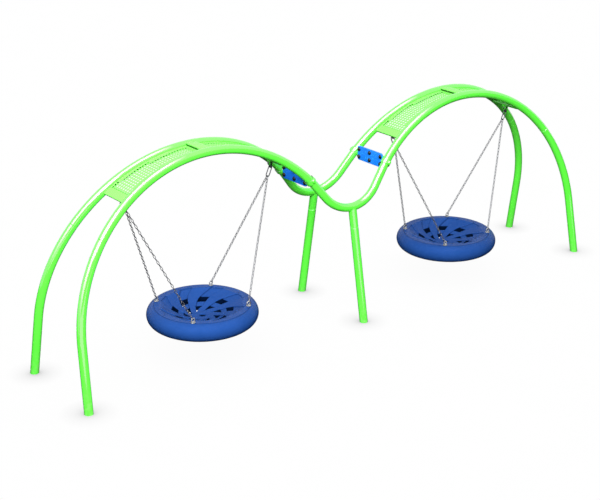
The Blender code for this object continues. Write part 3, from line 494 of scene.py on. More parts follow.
class RailLine:
    """The line of the rails' axes, in the leaning side planes."""

    def __init__(self, sizes):
        self.sizes = sizes
        self.radius = sizes.tube / 2
        self.gap = sizes.joint_gap / 2 / sizes.arch_radius
        x, t = self.saddle_point(sizes.shoulder_slope)
        x += sizes.shoulder_run * math.cos(sizes.shoulder_slope)
        t += sizes.shoulder_run * math.sin(sizes.shoulder_slope)
        self.middle = x + sizes.arch_radius * math.sin(sizes.shoulder_slope)
        self.centre = t - sizes.arch_radius * math.cos(sizes.shoulder_slope)

    def saddle_point(self, heading):
        dip = self.sizes.dip / math.cos(self.sizes.lean)
        radius = self.sizes.saddle_radius
        return radius * math.sin(heading), dip + radius * (1 - math.cos(heading))

    def arch_point(self, heading):
        radius = self.sizes.arch_radius
        x = self.middle - radius * math.sin(heading)
        return x, self.centre + radius * math.cos(heading)

    def height(self, t):
        """Height above the ground of a distance up the leaning plane."""
        return t * math.cos(self.sizes.lean)

    def place(self, x, t, side):
        y = side * (self.sizes.foot_spacing - t * math.sin(self.sizes.lean))
        return Vector((x, y, self.height(t)))

    def up(self, side):
        return Vector((0, -side * math.sin(self.sizes.lean), math.cos(self.sizes.lean)))

    def across(self, side):
        return Vector((0, math.cos(self.sizes.lean), side * math.sin(self.sizes.lean)))

    def half_width(self, heading):
        """Rail axis to the middle plane on the arch."""
        return self.place(*self.arch_point(heading), 1).y

    def ring(self, station, side, end, radius):
        """Ring of a tube round the rail's axis. Slope is positive on the arch's inner half."""
        (x, t), heading = station
        centre = self.place(end * x, t, side)
        rise = Vector((-end * math.sin(heading), 0, 0)) + self.up(side) * math.cos(heading)
        across = self.across(side)
        sides = self.sizes.sides
        steps = [2 * math.pi * i / sides - side * self.sizes.lean for i in range(sides)]
        return [centre + radius * (math.cos(a) * across + math.sin(a) * rise) for a in steps]

    def arch_stations(self, first, last):
        """Even stations along the arch between two slopes."""
        steps = max(1, math.ceil(abs(first - last) / self.sizes.bend_step))
        return [(self.arch_point(h), h) for h in spread(first, last, steps)]


def slid_station(station, distance):
    """A station moved along the rail by a small distance, towards its arch's outer end."""
    (x, t), heading = station
    return (x + distance * math.cos(heading), t + distance * math.sin(heading)), heading


def tube_rings(line, stations, side, end, rounded):
    """Rings of a tube, drawn in at the ends that meet another tube."""
    edge = line.sizes.joint_edge
    rings = [line.ring(s, side, end, line.radius) for s in stations]
    for at_start in (True, False):
        if at_start not in rounded:
            continue
        station = stations[0] if at_start else stations[-1]
        inner = slid_station(station, edge if at_start else -edge)
        pair = [line.ring(station, side, end, line.radius - edge), line.ring(inner, side, end, line.radius)]
        if at_start:
            rings[:1] = pair
        else:
            rings[-1:] = reversed(pair)
    return rings


def level_ring(ring, direction, height):
    """The ring's points slid along a direction to a level plane."""
    return [p + direction * ((height - p.z) / direction.z) for p in ring]


def saddle_stations(line):
    sizes = line.sizes
    slope = sizes.shoulder_slope
    steps = math.ceil(2 * slope / math.radians(4.0))
    arc = [(line.saddle_point(h), h) for h in spread(-slope, slope, steps)]
    ends = line.arch_stations(slope, sizes.clamp_slope + line.gap)
    mirrored = [((-x, t), -h) for (x, t), h in reversed(ends)]
    return mirrored + arc + ends


def arch_tube(line, side, end):
    sizes = line.sizes
    stations = line.arch_stations(sizes.clamp_slope - line.gap, line.gap - sizes.leg_joint_slope)
    shape = Shape()
    shape.loft(tube_rings(line, stations, side, end, (True, False)))
    return shape.mesh("arch_rail")


def leg_tube(line, side, end):
    sizes = line.sizes
    stations = line.arch_stations(-sizes.leg_joint_slope - line.gap, -sizes.leg_slope)
    rings = tube_rings(line, stations, side, end, (True,))
    down = Vector((end * math.cos(sizes.leg_slope), 0, 0))
    down -= line.up(side) * math.sin(sizes.leg_slope)
    shape = Shape()
    shape.loft(rings + [level_ring(rings[-1], down, 0.0)])
    return shape.mesh("leg_rail")


def post_rings(line, side, profile):
    """Level rings of a post from (radius, height) points."""
    sizes = line.sizes
    foot = Vector((0, side * sizes.foot_spacing, 0))
    lean = Matrix.Rotation(side * sizes.lean, 3, "X")
    rings = []
    for radius, height in profile:
        square = [foot + lean @ p for p in circle(radius, sizes.sides)]
        rings.append(level_ring(square, line.up(side), height))
    return rings


def saddle_tube(line, side):
    """The dip between the arches, with the stub that the post fits under."""
    sizes = line.sizes
    shape = Shape()
    shape.loft(tube_rings(line, saddle_stations(line), side, 1, (True, False)))
    radius = line.radius - sizes.joint_gap
    low = sizes.post_joint + sizes.joint_gap / 2
    edge = sizes.joint_edge
    stub = [(radius - edge, low), (radius, low + edge), (radius, sizes.dip)]
    shape.loft(post_rings(line, side, stub))
    return shape.mesh("saddle_rail")


def post_tube(line, side):
    sizes = line.sizes
    top = sizes.post_joint - sizes.joint_gap / 2
    edge = sizes.joint_edge
    profile = [(line.radius, 0.0), (line.radius, top - edge), (line.radius - edge, top)]
    shape = Shape()
    shape.loft(post_rings(line, side, profile))
    return shape.mesh("post")


# ---------------------------------------------------------------- node trees


class Graph:
    """Short ways to add nodes to a tree and to join their sockets."""

    def __init__(self, tree):
        self.tree = tree

    def add(self, kind, inputs=None, **settings):
        """A node with settings, its inputs given as values or as what they read from."""
        node = self.tree.nodes.new(kind)
        for name, value in settings.items():
            setattr(node, name, value)
        for name, value in (inputs or {}).items():
            self.join(value, node.inputs[name])
        return node

    def join(self, value, socket):
        """Gives a socket a value, another socket or the first output of a node."""
        if isinstance(value, bpy.types.Node):
            value = value.outputs[0]
        if isinstance(value, bpy.types.NodeSocket):
            self.tree.links.new(value, socket)
        elif socket.type == "RGBA" and len(value) == 3:
            socket.default_value = (*value, 1.0)
        else:
            socket.default_value = value

    def sum(self, operation, first, second=0.0):
        """The output of a Math node."""
        return self.add("ShaderNodeMath", {0: first, 1: second}, operation=operation).outputs[0]

    def product(self, value, *factors):
        for factor in factors:
            value = self.sum("MULTIPLY", value, factor)
        return value

    def blend(self, factor, first, second):
        """The colour output of a Mix node."""
        inputs = {"Factor": factor, 6: first, 7: second}
        return self.add("ShaderNodeMix", inputs, data_type="RGBA").outputs[2]

    def ramp(self, value, low, high, to_low=0.0, to_high=1.0):
        """The value mapped from one range to another, held at the ends."""
        inputs = {"Value": value, "From Min": low, "From Max": high, "To Min": to_low, "To Max": to_high}
        return self.add("ShaderNodeMapRange", inputs).outputs["Result"]

    def noise(self, vector, scale, detail, roughness=0.5):
        inputs = {"Vector": vector, "Scale": scale, "Detail": detail, "Roughness": roughness}
        return self.add("ShaderNodeTexNoise", inputs)

    def rectangle(self, width, height):
        inputs = {"Width": width, "Height": height}
        return self.add("GeometryNodeCurvePrimitiveQuadrilateral", inputs)

    def rounded(self, curve, corner):
        corner_points = 2
        inputs = {"Curve": curve, "Count": corner_points, "Radius": corner}
        return self.add("GeometryNodeFilletCurve", inputs, mode="POLY")

    def gather(self, *parts):
        """Several geometries as one."""
        node = self.add("GeometryNodeJoinGeometry")
        for part in parts:
            self.join(part, node.inputs[0])
        return node

    def welded(self, *parts):
        """Several geometries as one, joined where their points meet."""
        weld_distance = 0.0001
        inputs = {"Geometry": self.gather(*parts), "Distance": weld_distance}
        return self.add("GeometryNodeMergeByDistance", inputs)

    def end(self, geometry, material, socket):
        """Puts out a tree's geometry as plain meshes in one material."""
        whole = self.add("GeometryNodeRealizeInstances", {"Geometry": geometry})
        coated = self.add("GeometryNodeSetMaterial", {"Geometry": whole, "Material": material})
        self.join(coated, socket)
        return self.tree


def new_group(name, kind, inputs, outputs):
    """A node group, each socket's kind given by name or by a default number:
    (graph, its input sockets by name, its output node's sockets)."""
    tree = bpy.data.node_groups.new(name, kind)
    for in_out, sockets in (("INPUT", inputs), ("OUTPUT", outputs)):
        for label, value in sockets.items():
            number_kind = {float: "Float", int: "Int"}.get(type(value))
            socket = tree.interface.new_socket(
                name=label, in_out=in_out, socket_type=f"NodeSocket{number_kind or value}"
            )
            if number_kind:
                socket.default_value = value
    graph = Graph(tree)
    return graph, graph.add("NodeGroupInput").outputs, graph.add("NodeGroupOutput").inputs


def evaluated_mesh(mesh, tree, values, name):
    """The plain mesh that a geometry tree makes from a mesh, with named input values."""
    source = linked_object(name, mesh)
    modifier = source.modifiers.new(tree.name, "NODES")
    modifier.node_group = tree
    for item in tree.interface.items_tree:
        if item.item_type == "SOCKET" and item.in_out == "INPUT" and item.name in values:
            modifier[item.identifier] = values[item.name]
    graph = bpy.context.evaluated_depsgraph_get()
    made = bpy.data.meshes.new_from_object(source.evaluated_get(graph))
    bpy.data.objects.remove(source)
    made.name = name
    return made


def points_mesh(name, points, edges=()):
    mesh = bpy.data.meshes.new(name)
    mesh.from_pydata([tuple(p) for p in points], list(edges), [])
    return mesh


def perforation_tree():
    """Punches a rounded slot through each flagged cell of a flat sheet, thickens the sheet
    and bends it over the arch. The sheet's X is arc length from the arch's middle."""
    graph, given, result = new_group(
        "perforated_deck", "GeometryNodeTree",
        {"Sheet": "Geometry", "Cell Length": 0.03, "Cell Width": 0.04, "Slot Length": 0.02,
         "Slot Width": 0.02, "Slot Corner": 0.005, "Thickness": 0.005, "Rise": 0.008,
         "Arch Radius": 1.6, "Arch Middle": 1.7, "Crown Height": 2.1, "Height Scale": 1.0,
         "Coat": "Material"},
        {"Deck": "Geometry"},
    )
    radius, thickness = given["Arch Radius"], given["Thickness"]
    flagged = graph.add("GeometryNodeInputNamedAttribute", {"Name": "slotted"}, data_type="BOOLEAN")
    inputs = {"Geometry": given["Sheet"], "Selection": flagged}
    parts = graph.add("GeometryNodeSeparateGeometry", inputs, domain="FACE").outputs
    cell = graph.rectangle(given["Cell Length"], given["Cell Width"])
    slot = graph.rounded(graph.rectangle(given["Slot Length"], given["Slot Width"]), given["Slot Corner"])
    tile = graph.add("GeometryNodeFillCurve", {"Curve": graph.gather(cell, slot)}, mode="TRIANGLES")
    centres = graph.add("GeometryNodeMeshToPoints", {"Mesh": parts["Selection"]}, mode="FACES")
    tiles = graph.add("GeometryNodeInstanceOnPoints", {"Points": centres, "Instance": tile})
    realised = graph.add("GeometryNodeRealizeInstances", {"Geometry": tiles})
    flat = graph.welded(realised, parts["Inverted"])
    inputs = {"Mesh": flat, "Offset": (0.0, 0.0, 1.0), "Offset Scale": thickness, "Individual": False}
    raised = graph.add("GeometryNodeExtrudeMesh", inputs, mode="FACES")
    closed = graph.welded(raised, graph.add("GeometryNodeFlipFaces", {"Mesh": flat}))
    place = graph.add("ShaderNodeSeparateXYZ", {"Vector": graph.add("GeometryNodeInputPosition")}).outputs
    height = graph.sum("ADD", place["Z"], graph.sum("SUBTRACT", given["Rise"], thickness))
    angle = graph.sum("DIVIDE", place["X"], radius)
    sine, cosine = (graph.sum(operation, angle) for operation in ("SINE", "COSINE"))
    reach = graph.product(graph.sum("ADD", radius, height), sine)
    fall = graph.product(radius, graph.sum("SUBTRACT", cosine, 1.0), given["Height Scale"])
    level = graph.sum("ADD", given["Crown Height"], fall)
    inputs = {
        "X": graph.sum("ADD", given["Arch Middle"], reach),
        "Y": place["Y"],
        "Z": graph.sum("ADD", level, graph.product(height, cosine)),
    }
    bent = graph.add("ShaderNodeCombineXYZ", inputs)
    arched = graph.add("GeometryNodeSetPosition", {"Geometry": closed, "Position": bent})
    return graph.end(arched, given["Coat"], result["Deck"])


def chain_tree():
    """Hangs oval wire links along each edge of a mesh, each a quarter turn from the next."""
    graph, given, result = new_group(
        "chain_strand", "GeometryNodeTree",
        {"Line": "Geometry", "Links": 39, "Link Length": 0.045, "Link Width": 0.024, "Wire": 0.006,
         "Wire Sides": 5, "Zinc": "Material"},
        {"Chain": "Geometry"},
    )
    wire, links = given["Wire"], given["Links"]
    width, height = (graph.sum("SUBTRACT", given[f"Link {size}"], wire) for size in ("Width", "Length"))
    nearly_half = 0.48
    oval = graph.rounded(graph.rectangle(width, height), graph.product(width, nearly_half))
    inputs = {"Resolution": given["Wire Sides"], "Radius": graph.product(wire, 0.5)}
    section = graph.add("GeometryNodeCurvePrimitiveCircle", inputs)
    link = graph.add("GeometryNodeCurveToMesh", {"Curve": oval, "Profile Curve": section})
    inputs = {"Geometry": link, "Rotation": (math.pi / 2, 0.0, math.pi / 2)}
    upright = graph.add("GeometryNodeTransform", inputs)
    strands = graph.add("GeometryNodeMeshToCurve", {"Mesh": given["Line"]})
    inputs = {"Curve": strands, "Count": links}
    spots = graph.add("GeometryNodeCurveToPoints", inputs, mode="COUNT").outputs
    align = "FunctionNodeAlignRotationToVector"
    along = graph.add(align, {"Vector": spots["Tangent"]}, axis="Z")
    across = graph.add(align, {"Rotation": along, "Vector": (0.0, 1.0, 0.0)}, axis="Y", pivot_axis="Z")
    strand_index = graph.sum("MODULO", graph.add("GeometryNodeInputIndex"), links)
    quarter = graph.product(graph.sum("MODULO", strand_index, 2.0), math.pi / 2)
    inputs = {"Axis": (0.0, 0.0, 1.0), "Angle": quarter}
    twist = graph.add("FunctionNodeAxisAngleToRotation", inputs)
    inputs = {"Rotation": across, "Rotate By": twist}
    turned = graph.add("FunctionNodeRotateRotation", inputs, rotation_space="LOCAL")
    inputs = {"Points": spots["Points"], "Instance": upright, "Rotation": turned}
    strand = graph.add("GeometryNodeInstanceOnPoints", inputs)
    return graph.end(strand, given["Zinc"], result["Chain"])


def fastener_tree():
    """Sets one fastener on each point of a mesh, all turned alike."""
    graph, given, result = new_group(
        "fastener_grid", "GeometryNodeTree",
        {"Points": "Geometry", "Fastener": "Object", "Turn": "Rotation", "Finish": "Material"},
        {"Fasteners": "Geometry"},
    )
    source = graph.add("GeometryNodeObjectInfo", {"Object": given["Fastener"], "As Instance": True})
    spots = graph.add("GeometryNodeMeshToPoints", {"Mesh": given["Points"]}, mode="VERTICES")
    inputs = {"Points": spots, "Instance": source.outputs["Geometry"], "Rotation": given["Turn"]}
    copies = graph.add("GeometryNodeInstanceOnPoints", inputs)
    return graph.end(copies, given["Finish"], result["Fasteners"])


# ---------------------------------------------------------------- finishes


def fade_group(name):
    """Slow drift of a colour towards its faded tone."""
    graph, given, result = new_group(
        name, "ShaderNodeTree",
        {"Vector": "Vector", "Colour": "Color", "Faded": "Color", "Patch Size": 0.5, "Amount": 0.5},
        {"Colour": "Color"},
    )
    scale = graph.sum("DIVIDE", 1.0, given["Patch Size"])
    mask = graph.ramp(graph.noise(given["Vector"], scale, 5.0, 0.6), 0.36, 0.66)
    share = graph.product(mask, given["Amount"])
    graph.join(graph.blend(share, given["Colour"], given["Faded"]), result["Colour"])
    return graph.tree


def dust_group(name):
    """Dust that settles on upward faces and splashes up from the ground."""
    graph, given, result = new_group(
        name, "ShaderNodeTree",
        {"Vector": "Vector", "Colour": "Color", "Dust": "Color", "On Top": 0.05, "At Ground": 0.2,
         "Splash Height": 0.25},
        {"Colour": "Color"},
    )
    normal = graph.add("ShaderNodeNewGeometry").outputs["Normal"]
    upward, height = (
        graph.add("ShaderNodeSeparateXYZ", {"Vector": vector}).outputs["Z"]
        for vector in (normal, given["Vector"])
    )
    patch = graph.ramp(graph.noise(given["Vector"], 34.0, 6.0), 0.42, 0.62)
    top = graph.product(graph.ramp(upward, 0.55, 1.0), given["On Top"])
    low = graph.sum("SUBTRACT", 1.0, graph.sum("DIVIDE", height, given["Splash Height"]))
    low = graph.product(graph.ramp(low, 0.0, 1.0), given["At Ground"])
    mask = graph.product(graph.sum("ADD", top, low), patch)
    graph.join(graph.blend(mask, given["Colour"], given["Dust"]), result["Colour"])
    return graph.tree


def edge_and_hollow_group(name):
    """Rubbed edges, a mask broken up by noise, and a mask of the hollows, which finishes darken."""
    graph, given, result = new_group(
        name, "ShaderNodeTree",
        {"Vector": "Vector", "Grain": 90.0, "Amount": 0.5},
        {"Edges": "Float", "Hollows": "Float"},
    )
    bend = graph.add("ShaderNodeNewGeometry").outputs["Pointiness"]
    patch = graph.ramp(graph.noise(given["Vector"], given["Grain"], 4.0), 0.40, 0.60)
    edges = graph.product(graph.ramp(bend, 0.53, 0.60), patch, given["Amount"])
    graph.join(edges, result["Edges"])
    hollows = graph.product(graph.ramp(bend, 0.40, 0.49, 1.0, 0.0), given["Amount"])
    graph.join(hollows, result["Hollows"])
    return graph.tree


def grain_group(name):
    """Height of a fine surface: soft ripples with a finer grain on them, and a gloss drift."""
    graph, given, result = new_group(
        name, "ShaderNodeTree",
        {"Vector": "Vector", "Ripple": 0.006, "Grain": 0.0012, "Grain Share": 0.3,
         "Gloss From": 0.3, "Gloss To": 0.4},
        {"Height": "Float", "Roughness": "Float"},
    )
    place = given["Vector"]
    ripple = graph.noise(place, graph.sum("DIVIDE", 1.0, given["Ripple"]), 1.0)
    inputs = {"Vector": place, "Scale": graph.sum("DIVIDE", 1.0, given["Grain"])}
    grain = graph.product(graph.add("ShaderNodeTexVoronoi", inputs), given["Grain Share"])
    graph.join(graph.sum("ADD", ripple, grain), result["Height"])
    drift = graph.noise(place, 9.0, 4.0)
    gloss = graph.ramp(drift, 0.3, 0.7, given["Gloss From"], given["Gloss To"])
    graph.join(gloss, result["Roughness"])
    return graph.tree


def spangle_group(name):
    """Crystal patches of hot-dip zinc, each with its own tone."""
    graph, given, result = new_group(
        name, "ShaderNodeTree",
        {"Vector": "Vector", "Bright": "Color", "Dull": "Color", "Patch Size": 0.006},
        {"Colour": "Color"},
    )
    inputs = {"Vector": given["Vector"], "Scale": graph.sum("DIVIDE", 1.0, given["Patch Size"])}
    cells = graph.add("ShaderNodeTexVoronoi", inputs).outputs["Color"]
    tone = graph.add("ShaderNodeSeparateColor", {"Color": cells}).outputs["Red"]
    mixed = graph.product(graph.sum("ADD", tone, graph.noise(given["Vector"], 60.0, 5.0)), 0.5)
    graph.join(graph.blend(mixed, given["Dull"], given["Bright"]), result["Colour"])
    return graph.tree


EFFECTS = {
    "fade": fade_group,
    "dust": dust_group,
    "rubbed_edges": edge_and_hollow_group,
    "fine_grain": grain_group,
    "zinc_spangle": spangle_group,
}


class Finish:
    """A material under construction, with its shader and Object coordinates."""

    def __init__(self, name):
        self.material = bpy.data.materials.new(name)
        self.material.use_nodes = True
        self.graph = Graph(self.material.node_tree)
        self.shader = self.material.node_tree.nodes["Principled BSDF"]
        self.place = self.graph.add("ShaderNodeTexCoord").outputs["Object"]

    def effect(self, name, **values):
        """A shared effect placed in this material with its own values."""
        tree = bpy.data.node_groups.get(name) or EFFECTS[name](name)
        node = self.graph.add("ShaderNodeGroup", node_tree=tree)
        self.graph.join(self.place, node.inputs["Vector"])
        self.fill(node, values)
        return node.outputs

    def fill(self, node, values):
        for key, value in values.items():
            self.graph.join(value, node.inputs[key.replace("_", " ")])

    def share(self, name):
        """A share marked on the mesh's points."""
        return self.graph.add("ShaderNodeAttribute", attribute_name=name).outputs["Fac"]

    def surface(self, colour, grain, share, ripple, gloss, depth, strength, **values):
        """Ends the material with its colour, a fine grain, a range of gloss and a bump."""
        low, high = gloss
        fine = self.effect(
            "fine_grain", Ripple=ripple, Grain=grain, Grain_Share=share, Gloss_From=low, Gloss_To=high
        )
        inputs = {"Height": fine["Height"], "Distance": depth, "Strength": strength}
        normal = self.graph.add("ShaderNodeBump", inputs)
        values.update(Base_Color=colour, Roughness=fine["Roughness"], Normal=normal)
        self.fill(self.shader, values)
        return self.material


def darker(colour, share):
    return tuple(channel * share for channel in colour)


def green_coat(finish, colours):
    """Gloss powder coat: fine orange peel, slow fading, a little dust and rubbed edges, with painted shade
    where points are marked and a paler painted reflection on the decks.
    """
    graph = finish.graph
    fade = finish.effect("fade", Colour=colours.green, Faded=colours.green_fade, Patch_Size=0.9, Amount=0.8)
    edges_and_hollows = finish.effect("rubbed_edges", Grain=140.0, Amount=0.35)
    matt, shade = finish.share("matt"), finish.share("shade")
    coat = graph.blend(edges_and_hollows["Edges"], fade["Colour"], colours.green_fade)
    # Painted reflection: where the mask is set, the coat turns to the paler deck green.
    coat = graph.blend(matt, coat, colours.deck)
    # Painted shade: marked points darken to a near-black green.
    coat = graph.blend(graph.ramp(shade, 0.0, 0.2), coat, darker(colours.green, 0.06))
    dust = finish.effect(
        "dust", Colour=coat, Dust=colours.dust, On_Top=0.035, At_Ground=0.22, Splash_Height=0.28
    )
    return finish.surface(
        dust["Colour"], ripple=0.0045, grain=0.0016, share=0.15, gloss=(0.40, 0.50), depth=0.00006,
        strength=0.25, Specular_IOR_Level=0.1, Coat_Weight=graph.ramp(matt, 0.0, 1.0, 1.0, 0.25),
        Coat_Roughness=0.035, Coat_IOR=1.95,
    )


def worn_steel(finish, colours, bright, patch, metal):
    """Galvanised or polished steel, darker in its hollows."""
    cells = finish.effect("zinc_spangle", Bright=bright, Dull=colours.steel_dull, Patch_Size=patch)
    edges_and_hollows = finish.effect("rubbed_edges", Grain=220.0, Amount=0.3)
    hollow_tone = (0.05, 0.05, 0.055)
    hollow_darkened = finish.graph.blend(edges_and_hollows["Hollows"], cells["Colour"], hollow_tone)
    rubbed = finish.graph.blend(edges_and_hollows["Edges"], hollow_darkened, darker(bright, 1.6))
    return finish.surface(
        rubbed, ripple=0.004, grain=0.0011, share=0.5, gloss=(0.30, 0.46), depth=0.0004,
        strength=0.5, Metallic=metal, Specular_IOR_Level=0.08,
    )


def zinc(finish, colours):
    return worn_steel(finish, colours, colours.steel, patch=0.006, metal=0.85)


def eye_steel(finish, colours):
    return worn_steel(finish, colours, colours.eye, patch=0.012, metal=0.45)


def seat_plastic(finish, colours):
    """Textured rotationally moulded plastic, with painted shade in its hollows, in its openings and along
    marked lines.
    """
    graph = finish.graph
    fade = finish.effect("fade", Colour=colours.seat, Faded=colours.seat_fade, Patch_Size=0.22, Amount=0.6)
    edges_and_hollows = finish.effect("rubbed_edges", Grain=120.0, Amount=0.5)
    body = graph.blend(edges_and_hollows["Edges"], fade["Colour"], colours.seat_fade)
    # Painted shade in the relief's hollows.
    body = graph.blend(edges_and_hollows["Hollows"], body, darker(colours.seat, 0.45))
    # Painted shade in the openings and along the marked lines.
    shade = graph.ramp(finish.share("shade"), 0.0, 0.12)
    body = graph.blend(shade, body, darker(colours.seat, 0.10))
    dust = finish.effect("dust", Colour=body, Dust=colours.dust, On_Top=0.004, At_Ground=0.0)
    return finish.surface(
        dust["Colour"], ripple=0.0042, grain=0.0022, share=0.9, gloss=(0.24, 0.32), depth=0.0012,
        strength=0.8, Specular_IOR_Level=0.035,
    )


def panel_plastic(finish, colours):
    """Sheet plastic, satin on its faces and lighter where it is cut."""
    fade = finish.effect("fade", Colour=colours.panel, Faded=colours.panel_cut, Patch_Size=0.12, Amount=0.25)
    edges_and_hollows = finish.effect("rubbed_edges", Grain=160.0, Amount=0.8)
    rubbed = finish.graph.blend(edges_and_hollows["Edges"], fade["Colour"], colours.panel_cut)
    dust = finish.effect("dust", Colour=rubbed, Dust=colours.dust, On_Top=0.08, At_Ground=0.0)
    return finish.surface(
        dust["Colour"], ripple=0.003, grain=0.0009, share=0.8, gloss=(0.34, 0.44), depth=0.0003,
        strength=0.4,
    )


def cap_plastic(finish, colours):
    """Glossy black caps with a little dust."""
    greyed = (0.010, 0.010, 0.011)
    fade = finish.effect("fade", Colour=colours.cap, Faded=greyed, Patch_Size=0.01, Amount=0.6)
    dust = finish.effect("dust", Colour=fade["Colour"], Dust=colours.dust, On_Top=0.01, At_Ground=0.0)
    return finish.surface(
        dust["Colour"], ripple=0.002, grain=0.0008, share=0.4, gloss=(0.2, 0.34), depth=0.0002,
        strength=0.3, Specular_IOR_Level=0.25,
    )


MATERIALS = {
    "green_paint": ("green_powder_coat", green_coat),
    "steel": ("galvanised_steel", zinc),
    "eye_steel": ("eyebolt_steel", eye_steel),
    "seat_plastic": ("blue_moulded_seat", seat_plastic),
    "blue_panel": ("blue_panel_plastic", panel_plastic),
    "black_cap": ("black_cap_plastic", cap_plastic),
}


def finish_for(slot):
    """The material of a record slot, made on first use."""
    name, make = MATERIALS[slot]
    colours = bpy.context.scene.glider_finish
    return bpy.data.materials.get(name) or make(Finish(name), colours)


# ---------------------------------------------------------------- decks


def deck_edge(line, sizes, reach_along):
    """Half width of a deck at an arc length from the arch's middle."""
    heading = -reach_along / line.sizes.arch_radius
    return line.half_width(heading) - line.radius - sizes.edge_gap


def row_lines(line, sizes):
    """Arc lengths of the cross lines of a deck, and the first and last line of its slots."""
    radius = line.sizes.arch_radius
    start = radius * math.asin((sizes.plate_half + sizes.edge_gap / 2) / radius)
    finish = radius * math.asin(sizes.reach / radius)
    last = sizes.first_row + sizes.row_pitch / 2
    first = last - sizes.rows * sizes.row_pitch
    slots = [first + sizes.row_pitch * i for i in range(sizes.rows + 1)]
    after = max(1, round((finish - last) / sizes.row_pitch))
    ends = [last + (finish - last) * i / after for i in range(1, after + 1)]
    return [start, *slots, *ends], 1, sizes.rows + 1


def slotted_columns(sizes, along):
    """Slots on each side of the middle in the row at an arc length."""
    return int(zone_half(sizes, along) / sizes.column_pitch + 0.5)


def sheet_mesh(line, sizes):
    """Flat sheet of one deck: a cell for each slot, and plain faces out to its edges."""
    lines, first, last = row_lines(line, sizes)
    middles = [(low + high) / 2 for low, high in zip(lines, lines[1:])]
    counts = [slotted_columns(sizes, m) * (first <= i < last) for i, m in enumerate(middles)]
    bm = bmesh.new()
    flags = bm.faces.layers.bool.new("slotted")
    verts = []
    for i, along in enumerate(lines):
        widest = max(counts[max(i - 1, 0) : i + 1])
        ys = [k * sizes.column_pitch for k in range(-widest, widest + 1)] if widest else []
        edge = deck_edge(line, sizes, along)
        row = {y: bm.verts.new((along, y, 0)) for y in [-edge, *ys, edge]}
        verts.append(row)
    for i, half in enumerate(counts):
        low, high = verts[i], verts[i + 1]
        border = half * sizes.column_pitch
        for k in range(-half, half):
            y0, y1 = k * sizes.column_pitch, (k + 1) * sizes.column_pitch
            face = bm.faces.new((low[y0], high[y0], high[y1], low[y1]))
            face[flags] = True
        if half:
            for keep in (lambda y: y >= border - 1e-9, lambda y: y <= 1e-9 - border):
                bm.faces.new(strip_corners(low, high, keep))
        else:
            bm.faces.new(strip_corners(low, high, lambda y: True))
    return plain_mesh(bm, "sheet")


def strip_corners(low, high, keep):
    """Corners of a plain face between two cross lines, with every point that lies on them."""
    rising = [high[y] for y in sorted(high) if keep(y)]
    falling = [low[y] for y in sorted(low, reverse=True) if keep(y)]
    return falling[::-1][:1] + rising + falling[:-1]


def zone_half(sizes, along):
    """Half width of the slotted zone at an arc length from the arch's middle."""
    return sizes.zone_start + sizes.zone_spread * (along / sizes.first_row) ** sizes.zone_power


def deck_point(line, along, y, height):
    """A point of the right arch's outer deck, from its arc length, place across and height."""
    angle = along / line.sizes.arch_radius
    x, t = line.arch_point(-angle)
    z = line.height(t) + height * math.cos(angle)
    return Vector((x + height * math.sin(angle), y, z))


def add_stiffeners(shape, line, sizes):
    """The frame folded under the slotted zone: a strip along each side and across each end, all in painted
    shade.
    """
    lines, first, last = row_lines(line, sizes)
    high = sizes.rise - sizes.sheet / 2
    low = high - sizes.stiffener
    wall = sizes.stiffener_wall
    rows = lines[first : last + 1]
    start = len(shape.bm.verts)
    for side in SIDES.values():
        rings = []
        for along in rows:
            inner = slotted_columns(sizes, along) * sizes.column_pitch + sizes.stiffener_gap
            ys = (side * inner, side * (inner + wall))
            corners = zip((*ys, *ys[::-1]), (low, low, high, high))
            rings.append([deck_point(line, along, y, z) for y, z in corners])
        shape.loft(rings)
    for along in (rows[0] - wall / 2, rows[-1] + wall / 2):
        reach = zone_half(sizes, along) + sizes.stiffener_gap
        rings = []
        for y in (-reach, reach):
            spots = ((-wall / 2, low), (wall / 2, low), (wall / 2, high), (-wall / 2, high))
            rings.append([deck_point(line, along + offset, y, z) for offset, z in spots])
        shape.loft(rings)
    # The whole frame takes painted shade, so that it shows dark through the slots.
    shape.mark("shade", range(start, len(shape.bm.verts)), 1.0)


def outer_slot_walls(bm, line, sizes):
    """Points at the lower edge of the outermost slots' outer walls, which take painted shade."""
    rim = (sizes.column_pitch - sizes.slot_width) / 2
    radius = line.sizes.arch_radius
    reach = radius + sizes.rise - sizes.sheet / 2
    chosen = []
    for index, vert in enumerate(bm.verts):
        along = radius * math.asin(min(1.0, max(-1.0, (vert.co.x - line.middle) / reach)))
        edge = slotted_columns(sizes, along) * sizes.column_pitch - rim
        middle = deck_point(line, along, 0.0, sizes.rise - sizes.sheet / 2)
        if vert.co.z < middle.z and 0 < edge and abs(abs(vert.co.y) - edge) < sizes.slot_corner * 1.2:
            chosen.append(index)
    return chosen


